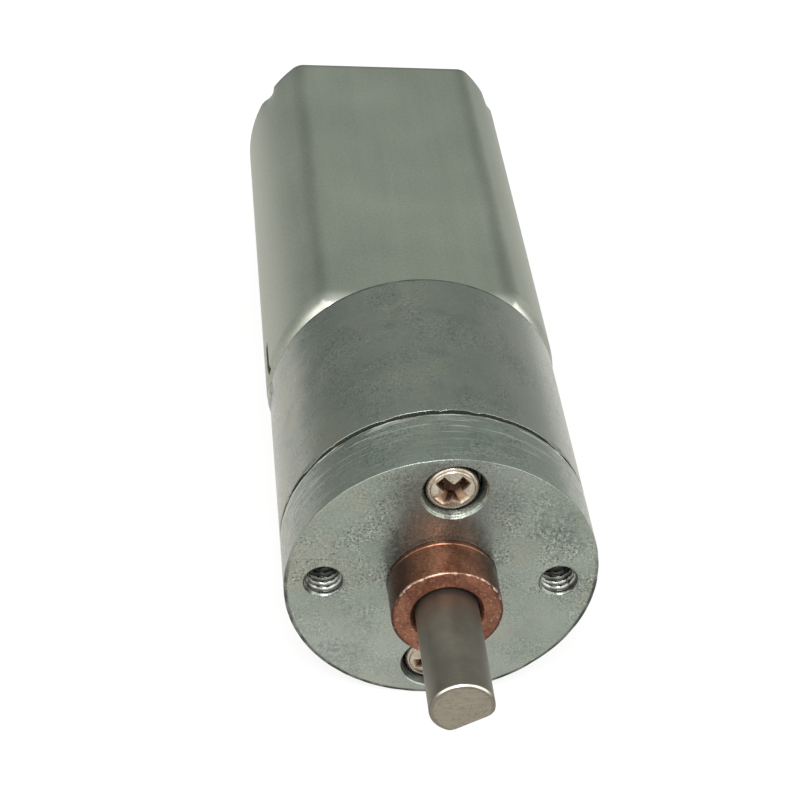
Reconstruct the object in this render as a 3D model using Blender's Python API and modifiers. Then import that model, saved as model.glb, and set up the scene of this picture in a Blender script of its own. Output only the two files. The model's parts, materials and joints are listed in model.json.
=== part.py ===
"""A round spur gearmotor: DC motor, five-stage gear train, cover with a D-cut output shaft.

The pieces are modelled round the shaft axis with the mounting face at z = 0, the shaft tip at +z,
x to the right and y up. The assembly empty then lays the axis down, so that the shaft points to -Y
and the origin is at the middle of the bottom of the object's box.
"""
import math

import bmesh
import bpy

# Gearbox shell, in metres
GEARBOX_DIAMETER = 0.0200
COVER_THICKNESS = 0.0045
HOUSING_LENGTH = 0.0145
HOUSING_WALL = 0.0011
HOUSING_FLOOR = 0.0022
SHELL_CHAMFER = 0.00018
GATE_PROUD = 0.00015
GATE_LENGTH = 0.0014
GATE_WIDTH = 0.0016
GATE_ANGLE = math.radians(178.1)

# Output shaft and bushing
SHAFT_DIAMETER = 0.0040
SHAFT_PROUD = 0.0110
SHAFT_CHAMFER = 0.00028
SHAFT_FLAT_DEPTH = 0.00065
SHAFT_FLAT_LENGTH = 0.0075
SHAFT_FLAT_ANGLE = math.radians(-59.5)
BUSHING_WALL = 0.0015
BUSHING_PROUD = 0.0030
BUSHING_CHAMFER = 0.00022

# Tapped mounting holes and cover screws
MOUNT_HOLE_INSET = 0.0025
MOUNT_TAP_DIAMETER = 0.0021
MOUNT_MOUTH = 0.00022
COVER_SCREW_RIM = 0.0007
SCREW_DIAMETER = 0.0020
SCREW_HEAD_DIAMETER = 0.0035
SCREW_HEAD_HEIGHT = 0.00145
SCREW_HEAD_DOME = 0.00045
SCREW_HEAD_SUNK = 0.00015
SCREW_LENGTH = 0.0070
SCREW_ROOM = 0.00025
SCREW_BOSS_WALL = 0.0007
RECESS_WIDTH = 0.00066
RECESS_SPAN = 0.0022
RECESS_DEPTH = 0.0008
RECESS_TURN = math.radians(42.0)

# Gear train
STAGES = 5
PINION_TEETH = 10
WHEEL_TEETH = 23
PRESSURE_ANGLE = math.radians(20.0)
PROFILE_SHIFT = 0.35
BACKLASH = 0.00005
WHEEL_TO_WALL = 0.0002
GEAR_PIN_DIAMETER = 0.0012
GEAR_PIN_IN_COVER = 0.0020
GEAR_PIN_IN_FLOOR = 0.0015
SPACER_WALL = 0.00035
LAYER_GAP = 0.0002
END_PLAY = 0.00025
FLANK_POINTS = 3

# Motor can
CAN_PROUD = 0.0002
CAN_DIAMETER = GEARBOX_DIAMETER + 2 * CAN_PROUD
CAN_ACROSS_FLATS = 0.0154
CAN_LENGTH = 0.0330
CAN_WALL = 0.0008
CAN_CORNER = 0.0013
CAN_SHOULDER = 0.0012
CAN_SLOT_WIDTH = 0.0006
CAN_SLOT_LENGTH = 0.0041
CAN_SLOT_DEPTH = 0.0005
CAN_SLOT_ANGLE = math.radians(173.5)
CRIMP_DEPTH = 0.0003
CRIMP_WIDTH = 0.0010
CRIMP_ANGLE = math.radians(29.0)
MOTOR_BOSS_DIAMETER = 0.00615
MOTOR_SCREW_RADIUS = 0.0052
MOTOR_SCREW_HEAD_DIAMETER = 0.0030
MOTOR_SCREW_HEAD_HEIGHT = 0.0009
MOTOR_SCREW_LENGTH = 0.0026

# Rotor and magnets
MOTOR_SHAFT_DIAMETER = 0.0020
MOTOR_SHAFT_NOSE = 0.0015
AIR_GAP = 0.0004
CORE_START = 0.0050
CORE_HUB_DIAMETER = 0.0048
POLE_STEM = 0.0024
POLE_TIP = 0.0010
POLE_HALF_ANGLE = math.radians(50.0)
COIL_THICKNESS = 0.0016
COIL_END = 0.0015
MAGNET_HALF_ANGLE = math.radians(44.0)
MAGNET_OVERHANG = 0.0015
COMMUTATOR_DIAMETER = 0.0050
COMMUTATOR_WALL = 0.0006
COMMUTATOR_LENGTH = 0.0050
COMMUTATOR_AFTER_COIL = 0.0006
COMMUTATOR_TO_CAP = 0.0029
COMMUTATOR_SLOT = math.radians(8.0)
ROTOR_WASHER_WALL = 0.0010
ROTOR_WASHER_THICKNESS = 0.0005

# Bearings, end cap, brushes and terminals
BEARING_WALL = 0.0012
BEARING_LENGTH = 0.0036
END_CAP_THICKNESS = 0.0040
END_CAP_PROUD = 0.0003
END_BOSS_WALL = 0.0008
END_BOSS_PROUD = 0.0012
END_BOSS_FLOOR = 0.0007
BRUSH_WIDTH = 0.0016
BRUSH_DEPTH = 0.0014
BRUSH_LENGTH = 0.0024
BRUSH_SPRING_THICKNESS = 0.00025
BRUSH_SPRING_WIDTH = 0.0021
TERMINAL_THICKNESS = 0.0004
TERMINAL_WIDTH = 0.0025
TERMINAL_PROUD = 0.0045
TERMINAL_INSIDE = 0.0019
TERMINAL_HOLE = 0.0011

# Gaps between pieces
SEAT_GAP = 0.00002
RUN_GAP = 0.00005
CUT_MARGIN = 0.0005
WELD = 0.0000002
ROUND_STEPS = 60
SMALL_STEPS = 24
ARC_STEP = math.radians(7.5)

# Levels along the axis, worked out from the sizes
GEARBOX_RADIUS = GEARBOX_DIAMETER / 2
BORE_RADIUS = GEARBOX_RADIUS - HOUSING_WALL
SHAFT_RADIUS = SHAFT_DIAMETER / 2
BUSHING_RADIUS = SHAFT_RADIUS + BUSHING_WALL
COVER_BACK = -COVER_THICKNESS
HOUSING_FRONT = COVER_BACK - SEAT_GAP
HOUSING_BACK = COVER_BACK - HOUSING_LENGTH
FLOOR_LEVEL = HOUSING_BACK + HOUSING_FLOOR
CAN_FRONT = HOUSING_BACK - SEAT_GAP
CAN_INSIDE = CAN_FRONT - CAN_WALL
CAN_BACK = CAN_FRONT - CAN_LENGTH
CAP_INSIDE = CAN_BACK + END_CAP_THICKNESS
CAP_BACK = CAN_BACK - END_CAP_PROUD
BOSS_BACK = CAP_BACK - END_BOSS_PROUD
TERMINAL_BACK = CAP_BACK - TERMINAL_PROUD
CORE_FRONT = CAN_INSIDE - CORE_START
COMMUTATOR_BACK = CAP_INSIDE + COMMUTATOR_TO_CAP
COMMUTATOR_FRONT = COMMUTATOR_BACK + COMMUTATOR_LENGTH
CORE_BACK = COMMUTATOR_FRONT + COMMUTATOR_AFTER_COIL + COIL_END
CORE_LENGTH = CORE_FRONT - CORE_BACK

# Gear sizes, worked out so that the wheels fill the housing's bore
WHEEL_TIP_MODULES = WHEEL_TEETH / 2 + 1 - PROFILE_SHIFT
CENTRE_MODULES = (PINION_TEETH + WHEEL_TEETH) / 2
MODULE = (BORE_RADIUS - WHEEL_TO_WALL) / (CENTRE_MODULES + WHEEL_TIP_MODULES)
CENTRE_DISTANCE = MODULE * CENTRE_MODULES
PIN_RADIUS = GEAR_PIN_DIAMETER / 2
SHAFT_AXIS = (0.0, 0.0)
PIN_A = (CENTRE_DISTANCE * math.cos(math.radians(30)), -CENTRE_DISTANCE / 2)
PIN_B = (CENTRE_DISTANCE * math.cos(math.radians(30)), CENTRE_DISTANCE / 2)
LAYER_PITCH = (HOUSING_FRONT - FLOOR_LEVEL - 2 * END_PLAY) / STAGES

# Screw and hole places
SCREW_RADIUS = SCREW_DIAMETER / 2
SCREW_HEAD_RADIUS = SCREW_HEAD_DIAMETER / 2
COUNTERBORE_RADIUS = SCREW_HEAD_RADIUS + SCREW_ROOM
COVER_SCREW_RADIUS = GEARBOX_RADIUS - COVER_SCREW_RIM - COUNTERBORE_RADIUS
MOUNT_RADIUS = GEARBOX_RADIUS - MOUNT_HOLE_INSET
MOTOR_SHAFT_RADIUS = MOTOR_SHAFT_DIAMETER / 2
BEARING_RADIUS = MOTOR_SHAFT_RADIUS + RUN_GAP + BEARING_WALL
ROTOR_RADIUS = CAN_ACROSS_FLATS / 2 - CAN_WALL - AIR_GAP

PARTS = "gearmotor"
CUTTERS = "gearmotor_cutters"


def clear_scene():
    """Remove every object, and make the two collections."""
    for obj in list(bpy.data.objects):
        bpy.data.objects.remove(obj, do_unlink=True)
    for name in (PARTS, CUTTERS):
        collection = bpy.data.collections.new(name)
        bpy.context.scene.collection.children.link(collection)


def make_material(name, colour, roughness, metallic):
    """Return a Principled material."""
    material = bpy.data.materials.new(name)
    material.use_nodes = True
    shader = material.node_tree.nodes["Principled BSDF"]
    shader.inputs["Base Color"].default_value = (*colour, 1.0)
    shader.inputs["Roughness"].default_value = roughness
    shader.inputs["Metallic"].default_value = metallic
    return material


def place(name, mesh, material, axis=SHAFT_AXIS):
    """Make a part of the assembly whose origin is on the given axis."""
    obj = bpy.data.objects.new(name, mesh)
    mesh.materials.clear()
    mesh.materials.append(material)
    bpy.data.collections[PARTS].objects.link(obj)
    obj.parent = bpy.data.objects["assembly"]
    obj.location = (axis[0], axis[1], 0.0)
    return obj


def place_cutter(target, mesh, name, operation):
    """Cut a mesh from a part, or join it on, with a Boolean modifier."""
    cutter = bpy.data.objects.new(f"{target.name}_{name}", mesh)
    bpy.data.collections[CUTTERS].objects.link(cutter)
    cutter.parent = target
    cutter.hide_render = True
    cutter.display_type = "WIRE"
    boolean = target.modifiers.new(name, "BOOLEAN")
    boolean.operation = operation
    boolean.solver = "EXACT"
    boolean.object = cutter
    return cutter


def cut(target, mesh, name):
    """Cut a mesh from a part."""
    return place_cutter(target, mesh, name, "DIFFERENCE")


def join(target, mesh, name):
    """Join a mesh to a part."""
    return place_cutter(target, mesh, name, "UNION")


def baked(obj):
    """Return a finished mesh of an object's modifiers or curve, and remove the object."""
    depsgraph = bpy.context.evaluated_depsgraph_get()
    mesh = bpy.data.meshes.new_from_object(obj.evaluated_get(depsgraph))
    bpy.data.objects.remove(obj, do_unlink=True)
    bm = bmesh.new()
    bm.from_mesh(mesh)
    bmesh.ops.remove_doubles(bm, verts=bm.verts, dist=WELD)
    bmesh.ops.recalc_face_normals(bm, faces=bm.faces)
    bm.to_mesh(mesh)
    bm.free()
    mesh.shade_smooth()
    mesh.set_sharp_from_angle(angle=math.radians(30))
    return mesh


def turned(profile, steps=ROUND_STEPS):
    """Return a mesh turned round z from (radius, z) points that run down the outer side.

    A profile whose ends are both on the axis is solid, and any other is closed to a ring.
    """
    mesh = bpy.data.meshes.new("profile")
    solid = profile[0][0] == 0.0 and profile[-1][0] == 0.0
    count = len(profile)
    edges = [(i, i + 1) for i in range(count - 1)]
    if not solid:
        edges.append((count - 1, 0))
    mesh.from_pydata([(radius, 0.0, z) for radius, z in profile], edges, [])
    obj = bpy.data.objects.new("profile", mesh)
    bpy.context.scene.collection.objects.link(obj)
    screw = obj.modifiers.new("turn", "SCREW")
    screw.steps = steps
    screw.render_steps = steps
    screw.use_merge_vertices = True
    screw.merge_threshold = WELD
    return baked(obj)


def rod(radius, top, bottom, steps=SMALL_STEPS, at=SHAFT_AXIS):
    """Return a plain cylinder along z."""
    bm = bmesh.new()
    bmesh.ops.create_cone(bm, cap_ends=True, segments=steps, radius1=radius, radius2=radius,
                          depth=top - bottom)
    bmesh.ops.translate(bm, verts=bm.verts, vec=(at[0], at[1], (top + bottom) / 2))
    return finished(bm, "rod")


def stepped_hole(steps_down, at):
    """Return a turned cutter along z from (radius, z) points that run from its top to its bottom."""
    top, bottom = steps_down[0][1], steps_down[-1][1]
    mesh = turned([(0.0, top)] + steps_down + [(0.0, bottom)], SMALL_STEPS)
    for vert in mesh.vertices:
        vert.co.x += at[0]
        vert.co.y += at[1]
    return mesh


def ring(outer, inner, top, bottom, steps=SMALL_STEPS):
    """Return a plain tube along z."""
    return turned([(outer, top), (outer, bottom), (inner, bottom), (inner, top)], steps)


def box(low, high, turn=0.0):
    """Return a box between two corners, turned round z."""
    bm = bmesh.new()
    bmesh.ops.create_cube(bm, size=1.0)
    for axis in range(3):
        scale = [1.0, 1.0, 1.0]
        scale[axis] = high[axis] - low[axis]
        bmesh.ops.scale(bm, verts=bm.verts, vec=scale)
    middle = [(a + b) / 2 for a, b in zip(low, high)]
    bmesh.ops.translate(bm, verts=bm.verts, vec=middle)
    turn_mesh(bm, turn)
    return finished(bm, "box")


def turn_mesh(bm, angle):
    """Turn an open mesh round z."""
    cos, sin = math.cos(angle), math.sin(angle)
    for vert in bm.verts:
        x, y, z = vert.co
        vert.co = (x * cos - y * sin, x * sin + y * cos, z)


def finished(bm, name):
    """Write an open mesh to a mesh that is smooth round its curves."""
    mesh = bpy.data.meshes.new(name)
    bm.to_mesh(mesh)
    bm.free()
    mesh.shade_smooth()
    mesh.set_sharp_from_angle(angle=math.radians(30))
    return mesh


def plate(outlines, top, bottom):
    """Return the mesh of a flat outline, with its holes, between two levels."""
    curve = bpy.data.curves.new("outline", "CURVE")
    curve.dimensions = "2D"
    curve.fill_mode = "BOTH"
    curve.extrude = (top - bottom) / 2
    for points in outlines:
        spline = curve.splines.new("POLY")
        spline.points.add(len(points) - 1)
        for point, (x, y) in zip(spline.points, points):
            point.co = (x, y, 0.0, 1.0)
        spline.use_cyclic_u = True
    obj = bpy.data.objects.new("outline", curve)
    bpy.context.scene.collection.objects.link(obj)
    mesh = baked(obj)
    for vert in mesh.vertices:
        vert.co.z += (top + bottom) / 2
    return mesh


def arc(radius, start, end, centre=SHAFT_AXIS):
    """Return the points of an arc, both ends included."""
    steps = max(1, math.ceil(abs(end - start) / ARC_STEP))
    angles = [start + (end - start) * i / steps for i in range(steps + 1)]
    return [(centre[0] + radius * math.cos(a), centre[1] + radius * math.sin(a)) for a in angles]


def sector(inner, outer, middle, half_angle):
    """Return the outline of a ring's sector."""
    outside = arc(outer, middle - half_angle, middle + half_angle)
    inside = arc(inner, middle + half_angle, middle - half_angle)
    return outside + inside


def can_outline(offset):
    """Return the can's double-D outline, moved inwards by an offset, with rounded corners."""
    radius = CAN_DIAMETER / 2 - offset
    flat = CAN_ACROSS_FLATS / 2 - offset
    corner = CAN_CORNER - offset
    reach = radius - corner
    corner_y = flat - corner
    corner_x = math.sqrt(reach ** 2 - corner_y ** 2)
    side = math.atan2(corner_y, corner_x)
    right = arc(radius, -side, side)
    top_right = arc(corner, side, math.pi / 2, (corner_x, corner_y))
    top_left = arc(corner, math.pi / 2, math.pi - side, (-corner_x, corner_y))
    half = right + top_right[1:] + top_left
    left = arc(radius, math.pi - side, math.pi + side)
    low_left = arc(corner, math.pi + side, 1.5 * math.pi, (-corner_x, -corner_y))
    low_right = arc(corner, 1.5 * math.pi, 2 * math.pi - side, (corner_x, -corner_y))
    return half + left[1:] + low_left[1:] + low_right[:-1]


def tooth_half_angle(radius, teeth, shift):
    """Return half the angle that a tooth fills at a radius on its involute flank."""
    pitch = MODULE * teeth / 2
    base = pitch * math.cos(PRESSURE_ANGLE)
    thickness = MODULE * (math.pi / 2 + 2 * shift * math.tan(PRESSURE_ANGLE)) - BACKLASH / 2
    at_radius = math.acos(min(1.0, base / max(radius, base)))
    involute = math.tan(PRESSURE_ANGLE) - PRESSURE_ANGLE
    return thickness / (2 * pitch) + involute - (math.tan(at_radius) - at_radius)


def gear_outline(teeth, shift, tooth_at):
    """Return the outline of a spur gear with a tooth in the direction of tooth_at."""
    pitch = MODULE * teeth / 2
    tip = pitch + MODULE * (1 + shift)
    root = pitch - MODULE * (1.25 - shift)
    start = max(root, pitch * math.cos(PRESSURE_ANGLE))
    flank = [start + (tip - start) * i / (FLANK_POINTS - 1) for i in range(FLANK_POINTS)]
    half_tooth = [(radius, tooth_half_angle(radius, teeth, shift)) for radius in flank]
    root_angle = half_tooth[0][1]
    rising = [(root, root_angle)] if root < start else []
    points = []
    for tooth in range(teeth):
        middle = tooth_at + 2 * math.pi * tooth / teeth
        for radius, angle in rising + half_tooth:
            points.append((radius, middle - angle))
        for radius, angle in reversed(rising + half_tooth):
            points.append((radius, middle + angle))
    return [(radius * math.cos(a), radius * math.sin(a)) for radius, a in points]


def direction(start, end):
    """Return the angle of the line between two axes."""
    return math.atan2(end[1] - start[1], end[0] - start[0])


def layer(number):
    """Return the top and bottom of a gear layer, counted from the motor side."""
    bottom = FLOOR_LEVEL + END_PLAY + (number - 1) * LAYER_PITCH
    return bottom + LAYER_PITCH - LAYER_GAP / 2, bottom + LAYER_GAP / 2


def wheel_outline(own_axis, driver_axis):
    """Return a wheel's outline with a gap between two teeth facing the pinion that drives it."""
    facing = direction(own_axis, driver_axis)
    return gear_outline(WHEEL_TEETH, -PROFILE_SHIFT, facing + math.pi / WHEEL_TEETH)


def pinion_outline(own_axis, driven_axis):
    """Return a pinion's outline with a tooth facing the wheel that it drives."""
    return gear_outline(PINION_TEETH, PROFILE_SHIFT, direction(own_axis, driven_axis))


def front_cover(material):
    """Make the cover disc with its bushing bore, tapped holes, counterbores and pin holes."""
    chamfer = SHELL_CHAMFER
    bore = BUSHING_RADIUS + SEAT_GAP
    cover = place("front_cover", turned([
        (GEARBOX_RADIUS - chamfer, 0.0), (GEARBOX_RADIUS, -chamfer),
        (GEARBOX_RADIUS, COVER_BACK + chamfer), (GEARBOX_RADIUS - chamfer, COVER_BACK),
        (bore, COVER_BACK), (bore, 0.0)]), material)
    over = CUT_MARGIN
    tap = MOUNT_TAP_DIAMETER / 2
    shank = SCREW_RADIUS + RUN_GAP
    seat = -SCREW_HEAD_SUNK - SCREW_HEAD_HEIGHT - SEAT_GAP
    below = COVER_BACK - over
    for side in (-1, 1):
        tapped = [(tap + MOUNT_MOUTH + over, over), (tap, -MOUNT_MOUTH), (tap, below)]
        cut(cover, stepped_hole(tapped, (side * MOUNT_RADIUS, 0.0)), f"tapped_hole_{side}")
        sunk = [(COUNTERBORE_RADIUS, over), (COUNTERBORE_RADIUS, seat), (shank, seat), (shank, below)]
        cut(cover, stepped_hole(sunk, (0.0, side * COVER_SCREW_RADIUS)), f"screw_hole_{side}")
    for name, axis in (("pin_hole_a", PIN_A), ("pin_hole_b", PIN_B)):
        top = COVER_BACK + GEAR_PIN_IN_COVER + SEAT_GAP
        cut(cover, rod(PIN_RADIUS + SEAT_GAP, top, COVER_BACK - over, at=axis), name)
    return cover


def gear_housing(material):
    """Make the housing cup with its floor, screw bosses and holes."""
    chamfer = SHELL_CHAMFER
    outer = GEARBOX_RADIUS
    pilot = MOTOR_BOSS_DIAMETER / 2 + SEAT_GAP
    housing = place("gear_housing", turned([
        (outer - chamfer, HOUSING_FRONT), (outer, HOUSING_FRONT - chamfer),
        (outer, HOUSING_BACK + chamfer), (outer - chamfer, HOUSING_BACK),
        (pilot, HOUSING_BACK), (pilot, FLOOR_LEVEL),
        (BORE_RADIUS, FLOOR_LEVEL), (BORE_RADIUS, HOUSING_FRONT)]), material)
    over = CUT_MARGIN
    into_wall = HOUSING_WALL / 2
    boss = SCREW_RADIUS + SCREW_BOSS_WALL
    boss_foot = FLOOR_LEVEL - HOUSING_FLOOR / 2
    shank = SCREW_RADIUS + RUN_GAP
    thread_end = -SCREW_HEAD_SUNK - SCREW_HEAD_HEIGHT - SCREW_LENGTH - over
    head = MOTOR_SCREW_HEAD_DIAMETER / 2 + RUN_GAP
    seat = FLOOR_LEVEL - MOTOR_SCREW_HEAD_HEIGHT - 2 * SEAT_GAP
    above, below = FLOOR_LEVEL + over, HOUSING_BACK - over
    for side in (-1, 1):
        screw_axis = (0.0, side * COVER_SCREW_RADIUS)
        wall = side * (BORE_RADIUS + into_wall)
        column = arc(boss, side * math.pi, side * 2 * math.pi, screw_axis) + [(boss, wall), (-boss, wall)]
        join(housing, plate([column], HOUSING_FRONT - SEAT_GAP, boss_foot), f"boss_{side}")
        cut(housing, rod(shank, HOUSING_FRONT + over, thread_end, at=screw_axis), f"thread_{side}")
        sunk = [(head, above), (head, seat), (shank, seat), (shank, below)]
        cut(housing, stepped_hole(sunk, (side * MOTOR_SCREW_RADIUS, 0.0)), f"motor_screw_hole_{side}")
    for name, axis in (("pin_a", PIN_A), ("pin_b", PIN_B)):
        bottom = FLOOR_LEVEL - GEAR_PIN_IN_FLOOR - SEAT_GAP
        cut(housing, rod(PIN_RADIUS + SEAT_GAP, FLOOR_LEVEL + over, bottom, at=axis), name)
    join(housing, box((outer - into_wall, -GATE_WIDTH / 2, HOUSING_BACK + chamfer),
                      (outer + GATE_PROUD, GATE_WIDTH / 2, HOUSING_BACK + chamfer + GATE_LENGTH),
                      GATE_ANGLE), "gate")
    return housing


def output_pieces(steel, bronze, gear_steel):
    """Make the bushing, the D-cut shaft, its wheel and the thrust washer."""
    bore = SHAFT_RADIUS + RUN_GAP
    edge = BUSHING_CHAMFER
    place("output_bushing", turned([
        (BUSHING_RADIUS - edge, BUSHING_PROUD), (BUSHING_RADIUS, BUSHING_PROUD - edge),
        (BUSHING_RADIUS, COVER_BACK), (bore, COVER_BACK),
        (bore, BUSHING_PROUD - edge), (bore + edge, BUSHING_PROUD)]), bronze)
    top, bottom = layer(STAGES)
    tip = SHAFT_CHAMFER
    shaft = place("output_shaft", turned([
        (0.0, SHAFT_PROUD), (SHAFT_RADIUS - tip, SHAFT_PROUD), (SHAFT_RADIUS, SHAFT_PROUD - tip),
        (SHAFT_RADIUS, bottom), (0.0, bottom)]), steel)
    flat = SHAFT_RADIUS - SHAFT_FLAT_DEPTH
    far = SHAFT_RADIUS + CUT_MARGIN
    cut(shaft, box((flat, -far, SHAFT_PROUD - SHAFT_FLAT_LENGTH),
                   (far, far, SHAFT_PROUD + CUT_MARGIN), SHAFT_FLAT_ANGLE), "flat")
    wheel = place("output_wheel", plate([wheel_outline(SHAFT_AXIS, PIN_B)], top, bottom), gear_steel)
    cut(wheel, rod(SHAFT_RADIUS + SEAT_GAP, top + CUT_MARGIN, bottom - CUT_MARGIN), "bore")
    place("output_washer", ring(BUSHING_RADIUS, bore, COVER_BACK - RUN_GAP, top + SEAT_GAP), steel)


def compound_gears(material):
    """Make the four pieces that each hold a wheel and the next stage's pinion."""
    for number in range(1, STAGES):
        own, other = (PIN_A, PIN_B) if number % 2 else (PIN_B, PIN_A)
        driver = SHAFT_AXIS if number == 1 else other
        driven = SHAFT_AXIS if number == STAGES - 1 else other
        wheel_top, wheel_bottom = layer(number)
        pinion_top = layer(number + 1)[0]
        gear = place(f"compound_gear_{number}",
                     plate([wheel_outline(own, driver)], wheel_top, wheel_bottom), material, own)
        inside = (wheel_top + wheel_bottom) / 2
        join(gear, plate([pinion_outline(own, driven)], pinion_top, inside), "pinion")
        bore = rod(PIN_RADIUS + RUN_GAP, pinion_top + CUT_MARGIN, wheel_bottom - CUT_MARGIN)
        cut(gear, bore, "bore")


def pins_and_spacers(steel):
    """Make the two gear pins and the sleeve that fills each pin's empty layer."""
    for name, axis, empty_layer in (("a", PIN_A, STAGES), ("b", PIN_B, 1)):
        pin_top = COVER_BACK + GEAR_PIN_IN_COVER
        place(f"gear_pin_{name}", rod(PIN_RADIUS, pin_top, FLOOR_LEVEL - GEAR_PIN_IN_FLOOR), steel, axis)
        top, bottom = layer(empty_layer)
        inner = PIN_RADIUS + RUN_GAP
        place(f"pin_{name}_spacer", ring(inner + SPACER_WALL, inner, top, bottom), steel, axis)


def screw(name, material, at, seat, head_radius, head_height, dome, length):
    """Make a cross-recess screw whose head stands on the seat level."""
    top = seat + head_height
    rim = top - dome
    piece = place(name, turned([
        (0.0, top), (head_radius * 0.45, top - dome * 0.12), (head_radius * 0.8, top - dome * 0.48),
        (head_radius, rim), (head_radius, seat), (SCREW_RADIUS, seat),
        (SCREW_RADIUS, seat - length), (0.0, seat - length)], SMALL_STEPS), material, at)
    half = RECESS_WIDTH / 2
    reach = min(RECESS_SPAN / 2, head_radius * 0.65)
    floor = top - min(RECESS_DEPTH, head_height * 0.7)
    slot = box((-reach, -half, floor), (reach, half, top + CUT_MARGIN), RECESS_TURN)
    cut(piece, slot, "slot")
    cut(piece, box((-half, -reach, floor), (half, reach, top + CUT_MARGIN), RECESS_TURN), "cross_slot")


def screws(nickel, steel):
    """Make the two cover screws and the two screws that hold the motor."""
    for number, side in ((1, 1), (2, -1)):
        screw(f"cover_screw_{number}", nickel, (0.0, side * COVER_SCREW_RADIUS),
              -SCREW_HEAD_SUNK - SCREW_HEAD_HEIGHT, SCREW_HEAD_RADIUS, SCREW_HEAD_HEIGHT,
              SCREW_HEAD_DOME, SCREW_LENGTH)
        screw(f"motor_screw_{number}", steel, (side * MOTOR_SCREW_RADIUS, 0.0),
              FLOOR_LEVEL - MOTOR_SCREW_HEAD_HEIGHT - SEAT_GAP, MOTOR_SCREW_HEAD_DIAMETER / 2,
              MOTOR_SCREW_HEAD_HEIGHT, MOTOR_SCREW_HEAD_HEIGHT / 4, MOTOR_SCREW_LENGTH)


def motor_can(material):
    """Make the drawn can with its rounded front shoulder, bearing boss, crimped rim and slot."""
    can = place("motor_can", plate([can_outline(0.0)], CAN_FRONT, CAN_BACK), material)
    bm = bmesh.new()
    bm.from_mesh(can.data)
    weight = bm.edges.layers.float.new("bevel_weight_edge")
    for edge in bm.edges:
        at_front = all(abs(vert.co.z - CAN_FRONT) < WELD for vert in edge.verts)
        on_rim = any(abs(face.normal.z) < 0.5 for face in edge.link_faces)
        edge[weight] = 1.0 if at_front and on_rim else 0.0
    bm.to_mesh(can.data)
    bm.free()
    bevel = can.modifiers.new("shoulder", "BEVEL")
    bevel.limit_method = "WEIGHT"
    bevel.width = CAN_SHOULDER
    bevel.segments = 3
    boss = MOTOR_BOSS_DIAMETER / 2
    boss_top = FLOOR_LEVEL - SEAT_GAP
    join(can, rod(boss, boss_top, CAN_FRONT - CAN_WALL / 2, ROUND_STEPS), "boss")
    cut(can, plate([can_outline(CAN_WALL)], CAN_INSIDE, CAN_BACK - CUT_MARGIN), "cavity")
    cut(can, rod(BEARING_RADIUS + SEAT_GAP, boss_top + CUT_MARGIN, CAN_INSIDE - CUT_MARGIN), "bore")
    for side in (-1, 1):
        hole = rod(SCREW_RADIUS + RUN_GAP, CAN_FRONT + CUT_MARGIN, CAN_INSIDE - CUT_MARGIN,
                   at=(side * MOTOR_SCREW_RADIUS, 0.0))
        cut(can, hole, f"screw_hole_{side}")
    radius = CAN_DIAMETER / 2
    for number in range(4):
        turn = CRIMP_ANGLE + (math.pi - 2 * CRIMP_ANGLE) * (number % 2) + math.pi * (number // 2)
        dent = box((radius - CRIMP_DEPTH, -CRIMP_WIDTH / 2, CAN_BACK - CUT_MARGIN),
                   (radius + CUT_MARGIN, CRIMP_WIDTH / 2, CAN_BACK + CRIMP_WIDTH), turn)
        cut(can, dent, f"crimp_{number}")
    slot = box((radius - CAN_SLOT_DEPTH, -CAN_SLOT_WIDTH / 2, CAN_FRONT - CAN_SLOT_LENGTH),
               (radius + CUT_MARGIN, CAN_SLOT_WIDTH / 2, CAN_FRONT + CUT_MARGIN), CAN_SLOT_ANGLE)
    cut(can, slot, "slot")


def bearings(bronze):
    """Make the motor's two sintered bearings."""
    bore = MOTOR_SHAFT_RADIUS + RUN_GAP
    front_top = FLOOR_LEVEL - SEAT_GAP
    place("front_bearing", ring(BEARING_RADIUS, bore, front_top, front_top - BEARING_LENGTH), bronze)
    rear_bottom = BOSS_BACK + END_BOSS_FLOOR + SEAT_GAP
    place("rear_bearing", ring(BEARING_RADIUS, bore, CAP_INSIDE, rear_bottom), bronze)


def rotor(steel, brass, core_steel, copper, resin):
    """Make the motor shaft and everything that turns with it."""
    top, bottom = layer(1)
    nose = MOTOR_SHAFT_NOSE / 2
    shaft_end = BOSS_BACK + END_BOSS_FLOOR + END_PLAY
    place("motor_shaft", turned([
        (0.0, top), (nose, top), (nose, bottom), (MOTOR_SHAFT_RADIUS, bottom),
        (MOTOR_SHAFT_RADIUS, shaft_end), (0.0, shaft_end)], SMALL_STEPS), steel)
    pinion = place("motor_pinion", plate([pinion_outline(SHAFT_AXIS, PIN_A)], top, bottom + SEAT_GAP), brass)
    cut(pinion, rod(nose + SEAT_GAP, top + CUT_MARGIN, bottom - CUT_MARGIN), "bore")
    bore = arc(MOTOR_SHAFT_RADIUS + SEAT_GAP, 0.0, 2 * math.pi)[:-1]
    place("rotor_core", plate([core_outline(), bore], CORE_FRONT, CORE_BACK), core_steel)
    for number in range(3):
        winding(number, copper)
    washer_bore = MOTOR_SHAFT_RADIUS + SEAT_GAP
    washer_outer = washer_bore + ROTOR_WASHER_WALL
    front = FLOOR_LEVEL - SEAT_GAP - BEARING_LENGTH - RUN_GAP
    rear = CAP_INSIDE + RUN_GAP + ROTOR_WASHER_THICKNESS
    for name, level in (("rotor_washer_front", front), ("rotor_washer_rear", rear)):
        place(name, ring(washer_outer, washer_bore, level, level - ROTOR_WASHER_THICKNESS), resin)
    commutator(copper, resin)


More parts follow.
